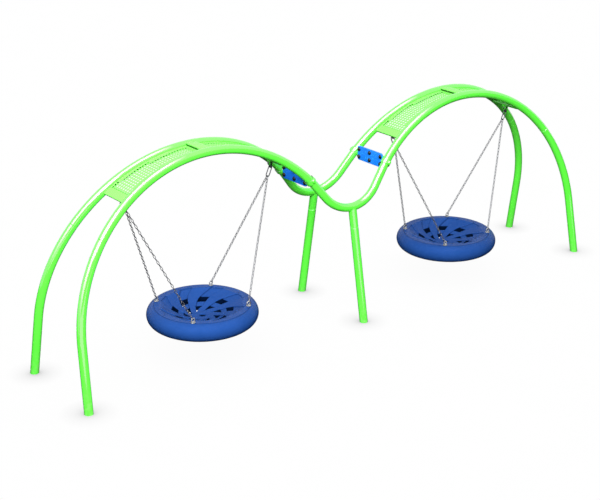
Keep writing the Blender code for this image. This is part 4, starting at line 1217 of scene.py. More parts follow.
def deck_mesh(line, sizes, tree):
    """Right arch's outer deck, with a folded lip under its end."""
    values = {
        "Cell Length": sizes.row_pitch, "Cell Width": sizes.column_pitch,
        "Slot Length": sizes.slot_length, "Slot Width": sizes.slot_width,
        "Slot Corner": sizes.slot_corner, "Thickness": sizes.sheet, "Rise": sizes.rise,
        "Arch Radius": line.sizes.arch_radius, "Arch Middle": line.middle,
        "Crown Height": line.height(line.arch_point(0.0)[1]), "Height Scale": line.height(1.0),
        "Coat": finish_for("green_paint"),
    }
    shape = Shape()
    shape.add_mesh(evaluated_mesh(sheet_mesh(line, sizes), tree, values, "deck"))
    # Painted shade on the outermost slots' outer walls, so that they show as dark dashes.
    shape.mark("shade", outer_slot_walls(shape.bm, line, sizes), 1.0)
    add_stiffeners(shape, line, sizes)
    heading = math.asin(sizes.reach / line.sizes.arch_radius)
    x, t = line.arch_point(-heading)
    edge = deck_edge(line, sizes, heading * line.sizes.arch_radius)
    place = move(x, 0, line.height(t)) @ Matrix.Rotation(heading, 4, "Y")
    drop = sizes.rise - sizes.sheet - sizes.lip / 2
    lip = place @ move(-sizes.sheet / 2, 0, drop + sizes.sheet / 4)
    shape.box((sizes.sheet, 2 * edge, sizes.lip + sizes.sheet / 2), sizes.sheet * 0.3, lip)
    # The whole deck is marked for a thinner coat and for the paler green of a painted reflection.
    shape.mark("matt", range(len(shape.bm.verts)), 1.0)
    return shape.mesh("deck")


def apex_plate_mesh(line, sizes):
    """Raised plate between the rails at the top of the right arch, with painted shade on its lower half."""
    half_y = line.half_width(0.0) - line.radius * 0.45
    low = sizes.rise - sizes.sheet
    x, t = line.arch_point(0.0)
    middle = line.height(t) + (low + sizes.plate_rise) / 2
    shape = Shape()
    outline = rounded_outline(sizes.plate_half, half_y, sizes.plate_edge, 4)
    shape.plate(outline, sizes.plate_rise - low, sizes.plate_edge, move(x, 0, middle), 4)
    # Painted shade on the plate's lower half, a dark line at its foot.
    shape.mark("shade", [i for i, vert in enumerate(shape.bm.verts) if vert.co.z < middle], 0.5)
    # The whole plate is marked for a thinner coat and for the paler green of a painted reflection.
    shape.mark("matt", range(len(shape.bm.verts)), 1.0)
    return shape.mesh("apex_plate")


# ---------------------------------------------------------------- hangers


class HangerLine:
    """Heights of the hanger's axes."""

    def __init__(self, line, hanger):
        radius = line.sizes.arch_radius
        deck_underside = 0.004
        below = hanger.bar / 2 + hanger.bar_gap - deck_underside
        slope = math.asin(hanger.reach / (radius - below))
        t = line.arch_point(-slope)[1]
        self.bar = line.height(t) - below * math.cos(slope)
        self.pin = self.bar - hanger.pin_drop
        self.pivot = self.pin - hanger.yoke_drop


def tongue(half, drop, top, steps):
    """Outline of a strip that hangs from a height and ends in a round below."""
    arc = spread(math.pi, 2 * math.pi, steps)
    return [(half * math.cos(a), half * math.sin(a) - drop) for a in arc] + [(half, top), (-half, top)]


def bracket_mesh(line, hanger, heights):
    """Crossbar between the rails with two welded ears, at the right arch's outer end."""
    half = line.sizes.foot_spacing - heights.bar * math.tan(line.sizes.lean) - line.radius * 0.5
    centre = move(line.middle + hanger.reach, 0, heights.bar)
    shape = Shape()
    shape.turned([(hanger.bar / 2, -half), (hanger.bar / 2, half)], 40, centre @ spin(90, "X"))
    outline = tongue(hanger.ear_width / 2, hanger.pin_drop, hanger.bar * 0.2, 14)
    for sign in (-1, 1):
        middle = sign * (hanger.ear_gap + hanger.ear) / 2
        shape.plate(outline, hanger.ear, hanger.ear * 0.2, centre @ move(middle, 0, 0) @ STANDING)
        for face in (-1, 1):
            x = middle + face * hanger.ear / 2
            shape.wire(ear_weld(hanger, centre, x), hanger.weld, 8, Vector((1, 0, 0)), closed=False)
    return shape.mesh("hanger_bracket")


def ear_weld(hanger, centre, x):
    """Path of the bead where the crossbar's underside meets an ear's face."""
    radius = hanger.bar / 2
    reach = math.asin(min(0.98, hanger.ear_width / 2 / radius))
    turns = spread(-reach, reach, 12)
    return [centre @ Vector((x, radius * math.sin(a), -radius * math.cos(a))) for a in turns]


def pin_mesh(hanger):
    """Pin about Z: washers, a six-sided head and a nut with the thread's end."""
    grip = hanger.ear_gap / 2 + hanger.ear + PLAY
    washer = hanger.pin_head_height * 0.25
    shape = Shape()
    shape.turned([(hanger.pin / 2, -grip), (hanger.pin / 2, grip)], 24)
    top = grip + hanger.pin_head_height
    for flip in FLIPS:
        shape.turned(rounded_profile(hanger.pin_head / 2, grip, grip + washer, washer * 0.4), 32, flip)
        head = hex_profile(hanger.pin_head * 0.86, grip + washer * 0.9, top - washer * 0.5)
        shape.turned(head, 6, flip)
    shape.turned(rounded_profile(hanger.pin * 0.45, grip, top, 0.001), 20)
    return shape.mesh("hanger_pin")


def yoke_mesh(hanger):
    """Barrel on the pin, with a fork and its bolt below. Origin on the pin's axis."""
    along = spin(90, "Y")
    shape = Shape()
    half = hanger.ear_gap / 2 - PLAY
    barrel = hanger.barrel / 2
    shape.turned(rounded_profile(barrel, -half, half, 0.0022), 32, along)
    fork = hanger.fork_gap + 2 * hanger.prong
    bridge = hanger.yoke_drop - hanger.bridge
    block = (hanger.yoke_width, fork, bridge - barrel * 0.4)
    shape.box(block, 0.0025, move(0, 0, -(bridge + barrel * 0.4) / 2))
    outline = tongue(hanger.yoke_width / 2, hanger.yoke_drop, -barrel * 0.7, 12)
    for sign in (-1, 1):
        place = move(0, sign * (hanger.fork_gap + hanger.prong) / 2, 0) @ spin(90, "X")
        shape.plate(outline, hanger.prong, 0.0014, place)
    bolt = move(0, 0, -hanger.yoke_drop) @ spin(90, "X")
    shape.turned([(hanger.bolt / 2, -fork / 2), (hanger.bolt / 2, fork / 2)], 20, bolt)
    for flip in FLIPS:
        head = hex_profile(hanger.bolt_head * 0.94, fork / 2, fork / 2 + hanger.bolt_head_height)
        shape.turned(head, 6, bolt @ flip)
    return shape.mesh("yoke")


def oval_link_mesh(hanger):
    """Oval ring in the XZ plane, hanging down from the fork bolt at its origin."""
    radius = hanger.link_half
    rise = hanger.bolt / 2 + hanger.link_play + hanger.wire / 2
    path = []
    for middle, start in ((rise - radius, 0.0), (rise - hanger.link_length + radius, math.pi)):
        for angle in spread(start, start + math.pi, 14):
            path.append(Vector((radius * math.cos(angle), 0, middle + radius * math.sin(angle))))
    shape = Shape()
    shape.wire(path, hanger.wire / 2, 14, Vector((0, 1, 0)))
    return shape.mesh("oval_link")


# ---------------------------------------------------------------- seats


def dish_drop(seat, radius):
    """Depth of the dish's top under the rim's top."""
    swell = max(0.0, 1 - ((radius - seat.swell_at) / seat.swell_reach) ** 2)
    return seat.depth * max(0.0, 1 - (radius / seat.dish) ** 2) - seat.swell * swell**2


def bumper_mesh(seat):
    """Fat rounded ring with a rebate for the dish's flange."""
    half = seat.rim / 2
    middle = seat.radius - half
    step = seat.flange + PLAY
    top = math.acos((step - middle) / half)
    shelf = seat.rim - seat.flange_thickness - PLAY
    crest = half + half * math.sin(top)
    outline = [(step, shelf), (step, crest - seat.seam), (step + seat.seam * 0.3, crest - seat.seam * 0.3)]
    for angle in spread(top - seat.seam / half, -math.pi / 2, 36):
        outline.append((middle + half * math.cos(angle), half + half * math.sin(angle)))
    for angle in spread(0, math.pi / 2, 6):
        r = seat.rim_inner + seat.rim_fillet * (1 - math.sin(angle))
        outline.append((r, seat.rim_fillet * (1 - math.cos(angle))))
    outline.append((seat.rim_inner, shelf))
    shape = Shape()
    shape.hoop([(r, z + seat.base) for r, z in outline], 144)
    return shape.mesh("bumper", sharp=50.0)


def field_span(seat, radius):
    """(start, width) of a recessed field at a radius, as angles."""
    width = seat.field_width + seat.field_spread * max(0.0, seat.spread_start - radius)
    width *= min(1.0, max(0.0, (radius - seat.field_tip) / seat.field_taper))
    end = seat.field_edge - seat.swirl * min(radius, seat.dish)
    return end - width, width


def dish_columns(seat, radius):
    """(angle, share of the relief, shade) of the mesh's spokes at a radius: over each sector a
    field with its steps, then a rib. They spread evenly where the fields have ended."""
    start, width = field_span(seat, radius)
    sector = 2 * math.pi / SECTORS
    step = seat.step / radius
    field_step = min(step, width * 0.25)
    rib_step = min(step, (sector - width) * 0.25)
    depth = min(1.0, width * radius / (4 * seat.step))
    inside = width - 2 * field_step
    groove = min(seat.groove / radius, inside * 0.2)
    shares = [
        (0.0, 0.0, 0.0), (field_step, depth, 0.5), (field_step + groove, depth, 0.0),
        (field_step + inside / 2, depth, 0.0), (width - field_step - groove, depth, 0.0),
        (width - field_step, depth, 1.0), (width, 0.0, 0.0), (width + rib_step, 0.0, 0.0),
        ((width + sector) / 2, 0.0, 0.0), (sector - rib_step, 0.0, 0.0),
    ]
    inner = smooth(radius, seat.field_tip + 0.012, seat.field_tip - 0.02)
    outer = smooth(radius, seat.field_end + PAIR, seat.flange - 0.01)
    even = max(inner, outer)
    columns = []
    for k in range(SECTORS):
        for i, (offset, share, shade) in enumerate(shares):
            spread = sector * i / len(shares)
            angle = start + k * sector + offset + (spread - offset) * even
            columns.append((angle, share, shade * share * (1 - outer)))
    return columns


def smooth(value, low, high):
    share = min(1.0, max(0.0, (value - low) / (high - low)))
    return share * share * (3 - 2 * share)


def dish_rows(seat):
    """Radii of the mesh's rings, with a close pair at each edge."""
    pair, half_pair = PAIR, PAIR / 2
    spacing = 0.022
    marks = [
        (seat.hub_hole, seat.hub - half_pair), (seat.hub + half_pair, seat.field_tip - 1.5 * pair),
        (seat.field_tip + pair, seat.inner_open), (seat.inner_open + pair, seat.outer_open_from - pair),
        (seat.outer_open_from, seat.outer_open_to), (seat.outer_open_to + pair, seat.dish - pair),
        (seat.field_end - 3 * pair, seat.field_end - 2.5 * pair),
        (seat.field_end - pair, seat.field_end + pair), (seat.field_end + 3 * pair, seat.flange),
    ]
    rows = []
    for low, high in marks:
        inner = [low, low + pair, high - pair, high]
        if high - low < 4 * pair:
            inner = [low, (low + high) / 2, high]
        steps = max(1, round((high - low - 2 * pair) / spacing))
        middle = [low + pair + (high - low - 2 * pair) * i / steps for i in range(1, steps)]
        rows += sorted(inner + (middle if len(inner) > 3 else []))
    return rows


def dish_height(seat, radius, share):
    """Height of the dish's top face above the bumper's base."""
    z = seat.rim - dish_drop(seat, radius)
    outward = 1 - smooth(radius, seat.field_end - PAIR, seat.field_end + PAIR / 2)
    z -= seat.relief * share * outward
    hub_foot, hub_top, hub_rise = seat.hub + 0.022, seat.hub + 0.016, 0.0025
    return z + hub_rise * smooth(radius, hub_foot, hub_top)


def dish_mesh(seat):
    """Dish with a flange, raised curved ribs, recessed fields and two rings of openings. Its underside and
    opening walls are in painted shade, with painted shade lines at its steps and at its flange's edge.
    """
    rows = dish_rows(seat)
    bm = bmesh.new()
    shades = bm.verts.layers.float.new("shade")
    # Painted shade: the lines at the steps' feet and at the flange's edge take a small share, and the
    # underside a full share, which darkens the opening walls.
    groove_shade = 0.075
    skins = []
    for under in (0, 1):
        rings = []
        for radius in rows:
            ring = []
            foot = abs(radius - seat.field_end + PAIR) < PAIR / 4
            for angle, share, shade in dish_columns(seat, radius):
                if under:
                    flange = smooth(radius, seat.dish - 0.002, seat.dish + 0.002)
                    wall = seat.thickness + (seat.flange_thickness - seat.thickness) * flange
                    z = seat.rim - dish_drop(seat, radius) - wall
                else:
                    z = dish_height(seat, radius, share)
                vert = bm.verts.new((radius * math.cos(angle), radius * math.sin(angle), z))
                painted_line_shade = groove_shade * max(shade, share * foot, radius > seat.flange - 0.001)
                vert[shades] = 1.0 if under else painted_line_shade
                ring.append(vert)
            rings.append(ring)
        skins.append(rings)
    columns = len(skins[0][0])
    per_sector = columns // SECTORS
    field_columns = 5

    def solid(row, column):
        if not 0 <= row < len(rows) - 1:
            return False
        middle = (rows[row] + rows[row + 1]) / 2
        inner = seat.field_tip + PAIR < middle < seat.inner_open
        outer = seat.outer_open_from < middle < seat.outer_open_to
        return not (inner or outer) or column % per_sector > field_columns

    top, low = skins
    crease = bm.edges.layers.float.new("crease_edge")
    uprights = {}
    for row in range(len(rows) - 1):
        for column in range(columns):
            if not solid(row, column):
                continue
            after = (column + 1) % columns
            corners = [(row, column), (row, after), (row + 1, after), (row + 1, column)]
            for rings in skins:
                bm.faces.new([rings[r][c] for r, c in corners])
            beside = [(row - 1, column), (row, after), (row + 1, column), (row, column - 1)]
            for k, (next_row, next_column) in enumerate(beside):
                if solid(next_row, next_column % columns):
                    continue
                (r0, c0), (r1, c1) = corners[k], corners[(k + 1) % 4]
                wall = (top[r0][c0], top[r1][c1], low[r1][c1], low[r0][c0])
                bm.faces.new(wall)
                if not rows[1] < rows[max(r0, r1)] < seat.dish:
                    continue
                for ends in ((wall[0], wall[1]), (wall[2], wall[3])):
                    bm.edges.get(ends)[crease] = 0.8
                for ends in ((wall[1], wall[2]), (wall[3], wall[0])):
                    uprights.setdefault(bm.edges.get(ends), []).append(k % 2)
    for edge, directions in uprights.items():
        if len(set(directions)) > 1:
            edge[crease] = 1.0
    loose = [v for v in bm.verts if not v.link_faces]
    bmesh.ops.delete(bm, geom=loose, context="VERTS")
    bmesh.ops.transform(bm, matrix=move(0, 0, seat.base), verts=bm.verts)
    bmesh.ops.recalc_face_normals(bm, faces=bm.faces)
    mesh = plain_mesh(bm, "dish")
    mesh.shade_smooth()
    return mesh


def eyebolt_mesh(seat):
    """Eyebolt with its base on the seat's top at the origin, the eye in the XZ plane."""
    base = seat.eye_base / 2
    neck = seat.eye_neck / 2
    low = PLAY
    top = low + seat.eye_base_height
    profile = rounded_profile(base, low, top - 0.002, 0.0018)[:-1]
    profile += [(base * 0.62, top - 0.0012), (neck * 1.35, top), (neck * 1.05, top + 0.002)]
    profile += [(neck, top + seat.eye_wire / 2), (neck * 0.6, top + seat.eye_wire * 0.8)]
    shape = Shape()
    shape.turned(profile, 32)
    centre = low + seat.eye_base_height + seat.eye_lift + seat.eye_radius
    outline = [(seat.eye_radius + p.x, p.y) for p in circle(seat.eye_wire / 2, 12)]
    shape.hoop(outline, 32, move(0, 0, centre) @ spin(90, "X"))
    return shape.mesh("eyebolt")


# ---------------------------------------------------------------- panels and clamps


def panel_half_width(line, panel):
    return line.half_width(line.sizes.clamp_slope) - line.radius - panel.wall - panel.side_gap


def panel_middle(line):
    """(x, z) where the saddle's end is clamped, in the middle plane."""
    x, t = line.arch_point(line.sizes.clamp_slope)
    return x, line.height(t)


def panel_mesh(line, panel):
    """Flat panel across the frame, standing in the YZ plane."""
    outline = rounded_outline(panel_half_width(line, panel), panel.height / 2, panel.corner, 8)
    shape = Shape()
    shape.plate(outline, panel.thickness, panel.edge, STANDING)
    return shape.mesh("panel")


def cap_mesh(panel):
    """Domed cap about Z with a thin skirt."""
    radius = panel.cap / 2
    skirt = panel.cap_height * 0.22
    profile = [(radius, 0.0), (radius, skirt * 0.7), (radius * 0.93, skirt)]
    for angle in spread(0, math.pi / 2, 6):
        dome = radius * 0.90 * math.cos(angle)
        profile.append((max(dome, radius * 0.06), skirt + (panel.cap_height - skirt) * math.sin(angle)))
    shape = Shape()
    shape.turned(profile, 24)
    return shape.mesh("cap")


def nut_mesh(panel):
    """Washer and dome-ended nut behind a panel, about Z."""
    shape = Shape()
    shape.turned(rounded_profile(panel.cap * 0.30, 0.0, 0.002, 0.0006), 20)
    shape.turned(hex_profile(panel.cap * 0.42, 0.0018, 0.009), 6)
    shape.turned(rounded_profile(panel.cap * 0.12, 0.0, 0.012, 0.001), 14)
    return shape.mesh("nut")


def fastener_spots(line, panel, end, x):
    """Points of the three by two grid of fasteners on a panel."""
    reach = panel_half_width(line, panel) - panel.cap_inset
    middle, z = panel_middle(line)
    spots = []
    for y in (-reach, 0.0, reach):
        for row in (-1, 1):
            spots.append(Vector((end * middle + x, y, z + row * panel.cap_rows / 2)))
    return spots


def clamp_mesh(line, panel, side, end):
    """Clamp ring round a rail, with a tab behind the panel and a pinch lug."""
    sizes = line.sizes
    half_turn = panel.clamp / 2 / sizes.arch_radius
    edge = 0.002 / sizes.arch_radius
    slope = sizes.clamp_slope
    outer = line.radius + panel.wall + panel.flare
    section = [
        (half_turn, outer - 0.002), (half_turn - edge * 0.3, outer - 0.0006),
        (half_turn - edge, outer), (half_turn * 0.4, outer), (-half_turn * 0.4, outer),
        (edge - half_turn, outer), (edge * 0.3 - half_turn, outer - 0.0006),
        (-half_turn, outer - 0.002), (-half_turn, line.radius + panel.fit),
        (half_turn, line.radius + panel.fit),
    ]
    rings = []
    for offset, radius in section:
        station = (line.arch_point(slope + offset), slope + offset)
        rings.append(line.ring(station, side, end, radius))
    shape = Shape()
    shape.loft(rings, closed=True)
    sides = len(rings[0])
    # Painted shade at the ring's ends: full on the inner rows and partial on the outer rows, to draw its
    # edge lines.
    shape.mark("shade", range(8 * sides, 10 * sides), 1.0)
    shape.mark("shade", (*range(sides), *range(7 * sides, 8 * sides)), 0.4)
    x, z = panel_middle(line)
    rail_y = line.half_width(slope)
    behind = panel.thickness / 2 + panel.fit + panel.tab / 2
    inner = panel_half_width(line, panel) - panel.tab_reach
    width = rail_y - line.radius - panel.wall / 4 - inner
    place = move(end * x + behind, side * (inner + width / 2), z)
    shape.box((panel.tab, width, panel.tab_height), 0.002, place)
    outward = line.across(side) * side
    lug = line.place(end * x, z / math.cos(sizes.lean), side) + outward * outer
    tilt = Matrix.Rotation(end * (math.pi / 2 - slope), 4, "Y")
    place = Matrix.Translation(lug) @ tilt
    half = panel.lug_length / 2
    shape.turned(rounded_profile(panel.lug / 2, -half, half, panel.lug_edge, 7), 32, place)
    return shape.mesh("clamp")


# ---------------------------------------------------------------- operators


class GLIDER_OT_rails(bpy.types.Operator):
    """Build both bent tube rails with their legs and posts"""

    bl_idname = "glider.rails"
    bl_label = "Tube rails and posts"

    def execute(self, context):
        line = RailLine(context.scene.glider_rails)
        for side_name, side in SIDES.items():
            parts = [("saddle_rail", saddle_tube(line, side), "saddle_tube")]
            parts.append(("post_tube", post_tube(line, side), "post"))
            for end_name, end in ENDS.items():
                for kind, make in (("arch", arch_tube), ("leg", leg_tube)):
                    name = f"{end_name}_{kind}"
                    parts.append((f"{name}_rail", make(line, side, end), f"{name}_tube"))
            for name, mesh, node in parts:
                add_piece(f"{side_name}_{name}", mesh, "frame", "green_paint", f"{side_name}_{node}")
        return {"FINISHED"}


class GLIDER_OT_decks(bpy.types.Operator):
    """Build the four perforated decks and the two apex plates"""

    bl_idname = "glider.decks"
    bl_label = "Decks and apex plates"

    def execute(self, context):
        line = RailLine(context.scene.glider_rails)
        sizes = context.scene.glider_decks
        deck = deck_mesh(line, sizes, perforation_tree())
        plate = apex_plate_mesh(line, sizes)
        for end_name, end in ENDS.items():
            whole = move((end - 1) * line.middle, 0, 0)
            name, node = f"{end_name}_apex_cap", f"{end_name}_apex_plate"
            add_copy(plate, whole, name, "frame", "green_paint", node)
            for place_name, way in PLACES.items():
                place = whole @ turn_about(line.middle, int(end * way < 0))
                name = f"{end_name}_{place_name}"
                add_copy(deck, place, f"{name}_perforated_deck", "frame", "green_paint", f"{name}_deck")
        return {"FINISHED"}


class GLIDER_OT_hangers(bpy.types.Operator):
    """Build the hanger brackets, pins, yokes and oval links"""

    bl_idname = "glider.hangers"
    bl_label = "Hangers"

    def execute(self, context):
        line = RailLine(context.scene.glider_rails)
        hanger, seat = context.scene.glider_hangers, context.scene.glider_seats
        heights = HangerLine(line, hanger)
        bracket = bracket_mesh(line, hanger, heights)
        pin, yoke, link = pin_mesh(hanger), yoke_mesh(hanger), oval_link_mesh(hanger)
        lean = math.atan2(hanger.reach - seat.eye_reach, heights.pivot - eye_height(seat))
        for name, end_name, end, out in half_arches():
            x = end * line.middle + out * hanger.reach
            whole = move((end - 1) * line.middle, 0, 0) @ turn_about(line.middle, int(out < 0))
            at_pin = move(x, 0, heights.pin)
            tilted = move(x, 0, heights.pivot) @ Matrix.Rotation(out * lean, 4, "Y")
            swing, chains = f"{end_name}_swing", f"{name}_chains"
            add_copy(bracket, whole, f"{name}_crossbar", "frame", "green_paint", f"{name}_hanger_bracket")
            place = at_pin @ spin(90, "Y")
            add_copy(pin, place, f"{name}_pin_bolt", "frame", "steel", f"{name}_hanger_pin")
            add_copy(yoke, at_pin, f"{name}_swivel_yoke", swing, "steel", f"{name}_yoke")
            add_copy(link, tilted, f"{name}_long_link", chains, "steel", f"{name}_oval_link")
        return {"FINISHED"}


class GLIDER_OT_chains(bpy.types.Operator):
    """Build the chains, two on each oval link"""

    bl_idname = "glider.chains"
    bl_label = "Chains"

    def execute(self, context):
        scene = context.scene
        line = RailLine(scene.glider_rails)
        hanger, seat, chain = scene.glider_hangers, scene.glider_seats, scene.glider_chains
        heights = HangerLine(line, hanger)
        tree = chain_tree()
        values = {
            "Links": chain.links, "Link Length": chain.link, "Link Width": chain.width,
            "Wire": chain.wire, "Wire Sides": chain.sides, "Zinc": finish_for("steel"),
        }
        points = []
        for side in SIDES.values():
            points += chain_line(hanger, seat, chain, heights, side)
        for name, _, end, out in half_arches():
            place = move(end * line.middle, 0, 0) @ Matrix.Scale(out, 4, (1, 0, 0))
            strands = points_mesh("strands", [place @ p for p in points], [(0, 1), (2, 3)])
            mesh = evaluated_mesh(strands, tree, values, f"{name}_link_chains")
            mesh.shade_smooth()
            nodes = [f"{name}_{side_name}_chain" for side_name in SIDES]
            add_piece(mesh.name, mesh, f"{name}_chains", "steel", *nodes)
        return {"FINISHED"}


def half_arches():
    """(name, name of its end, end, way out from the arch's middle) of each half arch."""
    for end_name, end in ENDS.items():
        for place_name, way in PLACES.items():
            yield f"{end_name}_{place_name}", end_name, end, end * way


def eye_height(seat):
    """Height of an eye's middle above the ground."""
    top = seat.base + seat.rim + PLAY
    return top + seat.eye_base_height + seat.eye_lift + seat.eye_radius


def chain_line(hanger, seat, chain, heights, side):
    """Middles of the first and last links of a chain, from the seat's middle. The first link
    hooks round the oval link's lower bend, the last one round the eye."""
    play = 0.0005
    pivot = Vector((hanger.reach, 0, heights.pivot))
    eye = Vector((seat.eye_reach, side * seat.eye_reach, eye_height(seat)))
    fall = Vector((eye.x - pivot.x, 0, eye.z - pivot.z)).normalized()
    rise = hanger.bolt / 2 + hanger.link_play + hanger.wire / 2
    bend = pivot + fall * (hanger.link_length - rise) + Vector((0, side * chain.top_spread, 0))
    along = (eye - bend).normalized()
    half = (chain.link - chain.wire) / 2
    first = bend + along * (half - (hanger.wire + chain.wire) / 2 - play)
    inside = seat.eye_radius - (seat.eye_wire + chain.wire) / 2 - play
    return [first, eye - along * (inside + half)]


class GLIDER_OT_seats(bpy.types.Operator):
    """Build the bumper rings, the moulded dishes and the eyebolts"""

    bl_idname = "glider.seats"
    bl_label = "Seats"

    def execute(self, context):
        line = RailLine(context.scene.glider_rails)
        seat = context.scene.glider_seats
        bumper, dish, eye = bumper_mesh(seat), dish_mesh(seat), eyebolt_mesh(seat)
        for end_name, end in ENDS.items():
            body = f"{end_name}_seat"
            whole = move(end * line.middle, 0, 0)
            add_copy(bumper, whole, f"{end_name}_bumper_ring", body, "seat_plastic", f"{body}_rim")
            piece = add_copy(dish, whole, f"{end_name}_petal_dish", body, "seat_plastic", f"{body}_dish")
            smoothing = piece.modifiers.new("soft_edges", "SUBSURF")
            smoothing.levels = 2
            smoothing.render_levels = 2
            for place_name, way in PLACES.items():
                for side_name, side in SIDES.items():
                    name = f"{end_name}_{place_name}_{side_name}_eye"
                    x, y = end * way * seat.eye_reach, side * seat.eye_reach
                    place = whole @ move(x, y, seat.base + seat.rim)
                    add_copy(eye, place, name, body, "eye_steel", f"{name}bolt")
        return {"FINISHED"}


class GLIDER_OT_panels(bpy.types.Operator):
    """Build the blue panels with their domed caps, nuts and clamps"""

    bl_idname = "glider.panels"
    bl_label = "Panels and clamps"

    def execute(self, context):
        line = RailLine(context.scene.glider_rails)
        panel = context.scene.glider_panels
        tree = fastener_tree()
        x, z = panel_middle(line)
        board = panel_mesh(line, panel)
        fronts, backs = [], []
        for end_name, end in ENDS.items():
            name, node = f"{end_name}_side_panel", f"{end_name}_blue_panel"
            add_copy(board, move(end * x, 0, z), name, "frame", "blue_panel", node)
            fronts += fastener_spots(line, panel, end, -panel.thickness / 2)
            for spot in fastener_spots(line, panel, end, panel.thickness / 2):
                if abs(spot.y) > panel.cap:
                    spot.x += panel.tab + panel.fit
                backs.append(spot)
            for side_name, side in SIDES.items():
                name = f"{side_name}_{end_name}_clamp"
                mesh = clamp_mesh(line, panel, side, end)
                add_piece(f"{name}_ring", mesh, "frame", "green_paint", name)
        sets = [
            ("panel_caps", cap_mesh(panel), fronts, -math.pi / 2, "black_cap"),
            ("panel_nuts", nut_mesh(panel), backs, math.pi / 2, "steel"),
        ]
        for name, shape, spots, turned, slot in sets:
            source = linked_object(f"{name}_source", shape)
            values = {"Fastener": source, "Turn": (0.0, turned, 0.0), "Finish": finish_for(slot)}
            mesh = evaluated_mesh(points_mesh("spots", spots), tree, values, name)
            bpy.data.objects.remove(source)
            add_piece(name, mesh, "frame", slot)
        return {"FINISHED"}


# ---------------------------------------------------------------- stage


def mirrored_surroundings(graph, stage):
    """What gloss coats mirror: a pale sky over a dark ground, a softbox that stands from the
    left horizon to overhead, a low band in front and a lamp."""
    front_drop = 0.6
    horizon = (-0.14, -0.09)
    lamp_direction = (-0.43, -0.56, 0.70)
    lamp_rim, lamp_core = 0.24, 0.18
    ray = graph.add("ShaderNodeTexCoord").outputs["Generated"]
    x, y, z = graph.add("ShaderNodeSeparateXYZ", {"Vector": ray}).outputs
    lift = graph.sum("ADD", z, graph.product(graph.sum("MINIMUM", y, 0.0), front_drop))
    sky = graph.ramp(lift, *horizon, stage.mirrored_ground, stage.mirrored_sky)
    box_edges = ((y, -0.60, -0.52), (y, 0.26, 0.18), (x, 0.36, 0.16), (z, 0.10, 0.55))
    front_edges = ((y, -0.38, -0.46), (x, 0.24, 0.14), (z, -0.115, -0.105), (z, 0.16, 0.12))
    box = graph.product(stage.mirrored_box, *(graph.ramp(*edge) for edge in box_edges))
    front = graph.product(stage.mirrored_front, *(graph.ramp(*edge) for edge in front_edges))
    offset = graph.add("ShaderNodeVectorMath", {0: ray, 1: lamp_direction}, operation="DISTANCE")
    lamp = graph.ramp(offset.outputs["Value"], lamp_rim, lamp_core, 0.0, stage.mirrored_lamp)
    bright = graph.sum("ADD", graph.sum("MAXIMUM", box, lamp), front)
    return graph.sum("ADD", sky, bright)


def floor_material(stage):
    """A floor that shows white but for soft shade where something stands on it or hangs low."""
    finish = Finish("pale_floor")
    graph = finish.graph
    shown = 1.0
    drift_size, faintest = 2.0, 0.997
    for reach, depth in ((stage.contact, stage.contact_depth), (stage.shade, stage.shade_depth)):
        open_share = graph.add("ShaderNodeAmbientOcclusion", {"Distance": reach}, samples=12)
        lit = graph.ramp(open_share.outputs["AO"], 0.0, 1.0, 1.0 - depth, 1.0)
        shown = graph.product(lit, shown)
    drift = graph.ramp(graph.noise(finish.place, drift_size, 2.0), 0.3, 0.7, faintest, 1.0)
    shown = graph.product(shown, drift)
    path = graph.add("ShaderNodeLightPath").outputs
    seen = graph.sum("MAXIMUM", path["Is Camera Ray"], path["Is Transmission Ray"])
    gain = graph.sum("SUBTRACT", shown, stage.bounce)
    glow = graph.sum("ADD", graph.product(seen, gain), stage.bounce)
    values = {"Base Color": (0.0, 0.0, 0.0), "Roughness": 1.0, "Specular IOR Level": 0.0}
    values.update({"Emission Color": (1.0, 1.0, 1.0), "Emission Strength": glow})
    finish.fill(finish.shader, values)
    return finish.material


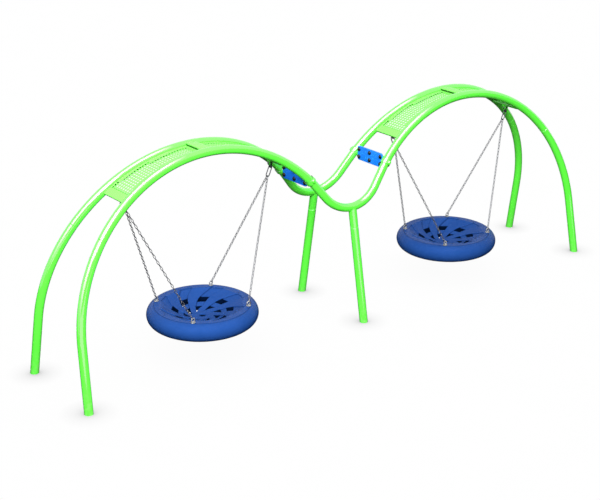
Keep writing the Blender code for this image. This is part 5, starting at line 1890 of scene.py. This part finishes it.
class GLIDER_OT_stage(bpy.types.Operator):
    """Build the floor, the surroundings, the lights and the camera"""

    bl_idname = "glider.stage"
    bl_label = "Floor, lights and camera"

    def execute(self, context):
        stage = context.scene.glider_stage
        half = stage.floor / 2
        below = -0.0005
        corners = [(-half, -half, below), (half, -half, below), (half, half, below), (-half, half, below)]
        mesh = bpy.data.meshes.new("floor")
        mesh.from_pydata(corners, [], [(0, 1, 2, 3)])
        mesh.materials.append(floor_material(stage))
        floor = linked_object("floor", mesh)
        floor.visible_glossy = False
        floor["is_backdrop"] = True

        world = bpy.data.worlds.new("pale_surroundings")
        world.use_nodes = True
        context.scene.world = world
        graph = Graph(world.node_tree)
        path = graph.add("ShaderNodeLightPath").outputs
        mirrored = mirrored_surroundings(graph, stage)
        strength = graph.product(path["Is Glossy Ray"], mirrored)
        strength = graph.sum("ADD", strength, graph.product(path["Is Diffuse Ray"], stage.ambient))
        seen = graph.sum("MAXIMUM", path["Is Camera Ray"], path["Is Transmission Ray"])
        background = world.node_tree.nodes["Background"]
        graph.join((1.0, 1.0, 1.0), background.inputs["Color"])
        graph.join(graph.sum("ADD", strength, seen), background.inputs["Strength"])

        target = Vector((0.0, 0.0, 1.0))
        light = bpy.data.lights.new("front_fill", "AREA")
        light.shape = "DISK"
        light.size = stage.fill_size
        light.energy = stage.fill_power
        lamp = linked_object("front_fill", light)
        lamp.location = target + Vector(stage.fill_from).normalized() * stage.fill_distance
        lamp.rotation_euler = (target - lamp.location).to_track_quat("-Z", "Y").to_euler()
        lamp.visible_glossy = False

        camera = linked_object("camera", bpy.data.cameras.new("camera"))
        camera.location = stage.camera_place
        camera.rotation_euler = stage.camera_turn
        camera.data.lens = stage.lens
        camera.data.sensor_width = 36.0
        camera.data.clip_end = 200.0
        context.scene.camera = camera
        context.scene.view_settings.view_transform = "Standard"
        return {"FINISHED"}


# ---------------------------------------------------------------- panel and registration


SETTINGS = {
    "glider_rails": RailSizes,
    "glider_decks": DeckSizes,
    "glider_hangers": HangerSizes,
    "glider_chains": ChainSizes,
    "glider_seats": SeatSizes,
    "glider_panels": PanelSizes,
    "glider_finish": FinishColours,
    "glider_stage": StageSizes,
}

STEPS = (
    GLIDER_OT_stage,
    GLIDER_OT_rails,
    GLIDER_OT_decks,
    GLIDER_OT_hangers,
    GLIDER_OT_chains,
    GLIDER_OT_seats,
    GLIDER_OT_panels,
)


class GLIDER_PT_sidebar(bpy.types.Panel):
    """Lists the steps that build the swing and the sizes they use"""

    bl_label = "Glider Swing"
    bl_space_type = "VIEW_3D"
    bl_region_type = "UI"
    bl_category = "Glider"

    def draw(self, context):
        for step in STEPS:
            self.layout.operator(step.bl_idname)
        for name, group in SETTINGS.items():
            box = self.layout.box()
            box.label(text=group.__doc__)
            for key in group.__annotations__:
                box.prop(getattr(context.scene, name), key)


CLASSES = (*SETTINGS.values(), *STEPS, GLIDER_PT_sidebar)


def register():
    for cls in CLASSES:
        bpy.utils.register_class(cls)
    for name, group in SETTINGS.items():
        setattr(bpy.types.Scene, name, bpy.props.PointerProperty(type=group))


def unregister():
    for name in SETTINGS:
        delattr(bpy.types.Scene, name)
    for cls in reversed(CLASSES):
        bpy.utils.unregister_class(cls)


def main():
    register()
    bpy.ops.glider.stage()
    bpy.ops.glider.rails()
    bpy.ops.glider.decks()
    bpy.ops.glider.hangers()
    bpy.ops.glider.chains()
    bpy.ops.glider.seats()
    bpy.ops.glider.panels()
    boxes = {"cad": CAD_BOX, "visual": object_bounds()}
    sizes = {name: [list(corner) for corner in box] for name, box in boxes.items()}


if __name__ == "__main__":
    main()
